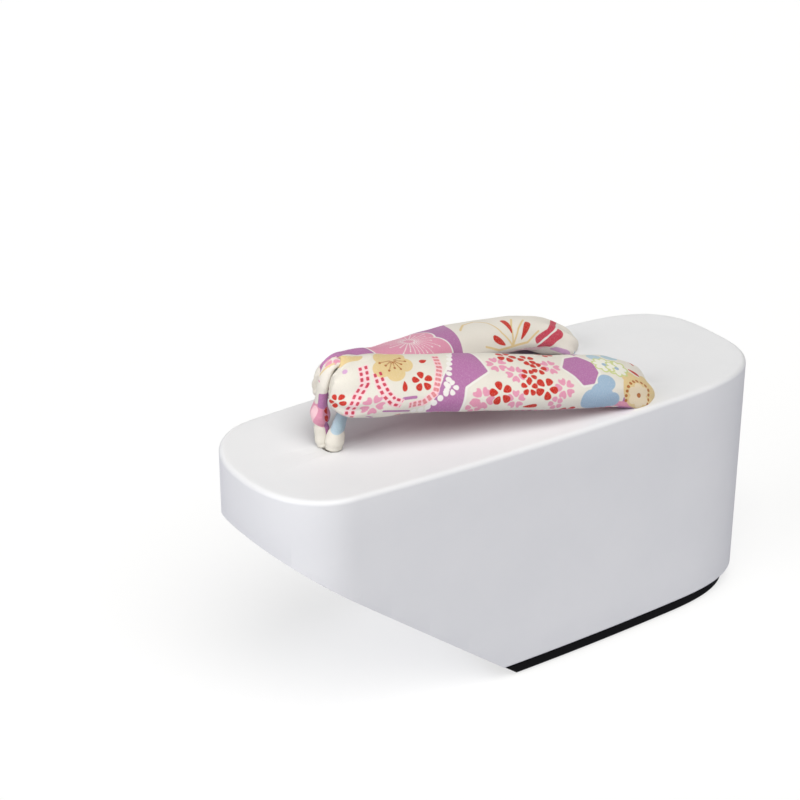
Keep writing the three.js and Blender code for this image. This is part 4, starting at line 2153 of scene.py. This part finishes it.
@dataclass(frozen=True)
class SoftLight:
    """A wide even light from far off, by its bearing from the toe towards the left and its height."""

    name: str
    bearing: float
    height: float
    strength: float
    spread: float
    colour: tuple[float, float, float] = (1.0, 1.0, 1.0)
    distance: float = 2.0

    def build(self) -> None:
        """Hang the light."""
        lamp = bpy.data.lights.new(self.name, "SUN")
        lamp.energy = self.strength
        lamp.color = self.colour
        lamp.angle = math.radians(self.spread)
        holder = bpy.data.objects.new(self.name, lamp)
        bearing = math.radians(self.bearing)
        height = math.radians(self.height)
        flat = math.cos(height)
        way = Vector((flat * math.sin(bearing), -flat * math.cos(bearing), math.sin(height)))
        holder.rotation_euler = (-way).to_track_quat("-Z", "Y").to_euler()
        holder.location = way * self.distance
        bpy.context.scene.collection.objects.link(holder)


@dataclass
class Studio:
    """Pale floor, soft lamps and the camera."""

    camera_place: tuple[float, float, float] = (0.5798, -0.4321, 0.4555)
    camera_aim: tuple[float, float, float] = (-0.03931, -0.01763, 0.08952)
    lens: float = 92.36
    sensor: float = 36.0
    floor_side: float = 8.0
    sky: Colour = (0.94, 0.965, 1.0, 1.0)
    sky_strength: float = 0.02
    floor_colour: Colour = linear(150, 150, 150)
    floor_roughness: float = 0.85
    floor_grain: Pair = (300.0, 2.0)
    floor_relief: Pair = (0.05, 0.1)
    # The floor's glow as it lights the sandal, and as it shows
    floor_glow: Colour = (0.245, 0.25, 0.32, 1.0)
    floor_shown: Colour = (0.66, 0.66, 0.66, 1.0)
    lamps: tuple[SoftLight, ...] = (
        SoftLight("key", 75.0, 60.5, strength=3.03, spread=50.0, colour=(1.0, 0.995, 0.968)),
        SoftLight("front", 0.0, 20.0, strength=1.6, spread=44.0),
        SoftLight("right", 250.0, 15.0, strength=0.6, spread=60.0),
    )

    def build(self) -> None:
        """Set up the camera, the lamps and the floor."""
        scene = bpy.context.scene
        scene.view_settings.view_transform = "Standard"
        data = bpy.data.cameras.new("camera")
        data.lens = self.lens
        data.sensor_width = self.sensor
        camera = bpy.data.objects.new("camera", data)
        camera.location = self.camera_place
        aim = Vector(self.camera_aim) - Vector(self.camera_place)
        camera.rotation_euler = aim.to_track_quat("-Z", "Y").to_euler()
        scene.collection.objects.link(camera)
        scene.camera = camera
        for lamp in self.lamps:
            lamp.build()
        world = bpy.data.worlds.new("studio")
        world.use_nodes = True
        background = world.node_tree.nodes["Background"]
        background.inputs[0].default_value = self.sky
        background.inputs[1].default_value = self.sky_strength
        scene.world = world
        self.build_floor()

    def build_floor(self) -> None:
        """Lay the floor, which shows whiter than the light that it throws up at the sandal."""
        half = self.floor_side / 2
        mesh = bpy.data.meshes.new("floor")
        corners = [(-half, -half, 0), (half, -half, 0), (half, half, 0), (-half, half, 0)]
        mesh.from_pydata(corners, [], [(0, 1, 2, 3)])
        material, tree, shader = new_material("floor paper")
        place = add_node(tree, "ShaderNodeTexCoord").outputs["Object"]
        add_grain(tree, shader, place, self.floor_grain, self.floor_relief)
        shader.inputs["Base Color"].default_value = self.floor_colour
        seen = add_node(tree, "ShaderNodeLightPath").outputs["Is Camera Ray"]
        tree.links.new(mix(tree, seen, self.floor_glow, self.floor_shown), shader.inputs["Emission Color"])
        shader.inputs["Emission Strength"].default_value = 1.0
        shader.inputs["Roughness"].default_value = self.floor_roughness
        mesh.materials.append(material)
        new_object("floor", mesh)


def main() -> None:
    """Build the sandal's pieces and the studio."""
    logging.basicConfig(level=logging.INFO, format="%(name)s %(message)s")
    Studio().build()
    groups = Groups()
    form = BlockForm()
    Block(form).build(LacquerFinish().material(groups))
    sole = Sole(form)
    rubber = RubberFinish().material(groups)
    sole.build(rubber)
    sole.build_ribs(rubber)
    loop = ToeLoop()
    loop.build(groups)
    arm = ArmForm()
    lining = LiningFinish().material(groups)
    thread = ThreadFinish().material(groups)
    stitching = Stitching()
    stitches = stitching.tree()
    for side, chart in ((Side.LEFT, LEFT_PRINT), (Side.RIGHT, RIGHT_PRINT)):
        StrapArm(side, arm, chart).build(loop, groups)
        panel = Lining(side, arm)
        panel.build(loop, lining)
        name = "lining_stitches_" + side.word
        stitching.build(name, panel.seams(loop), ["strap_under_" + side.word], stitches, thread)


if __name__ == "__main__":
    main()
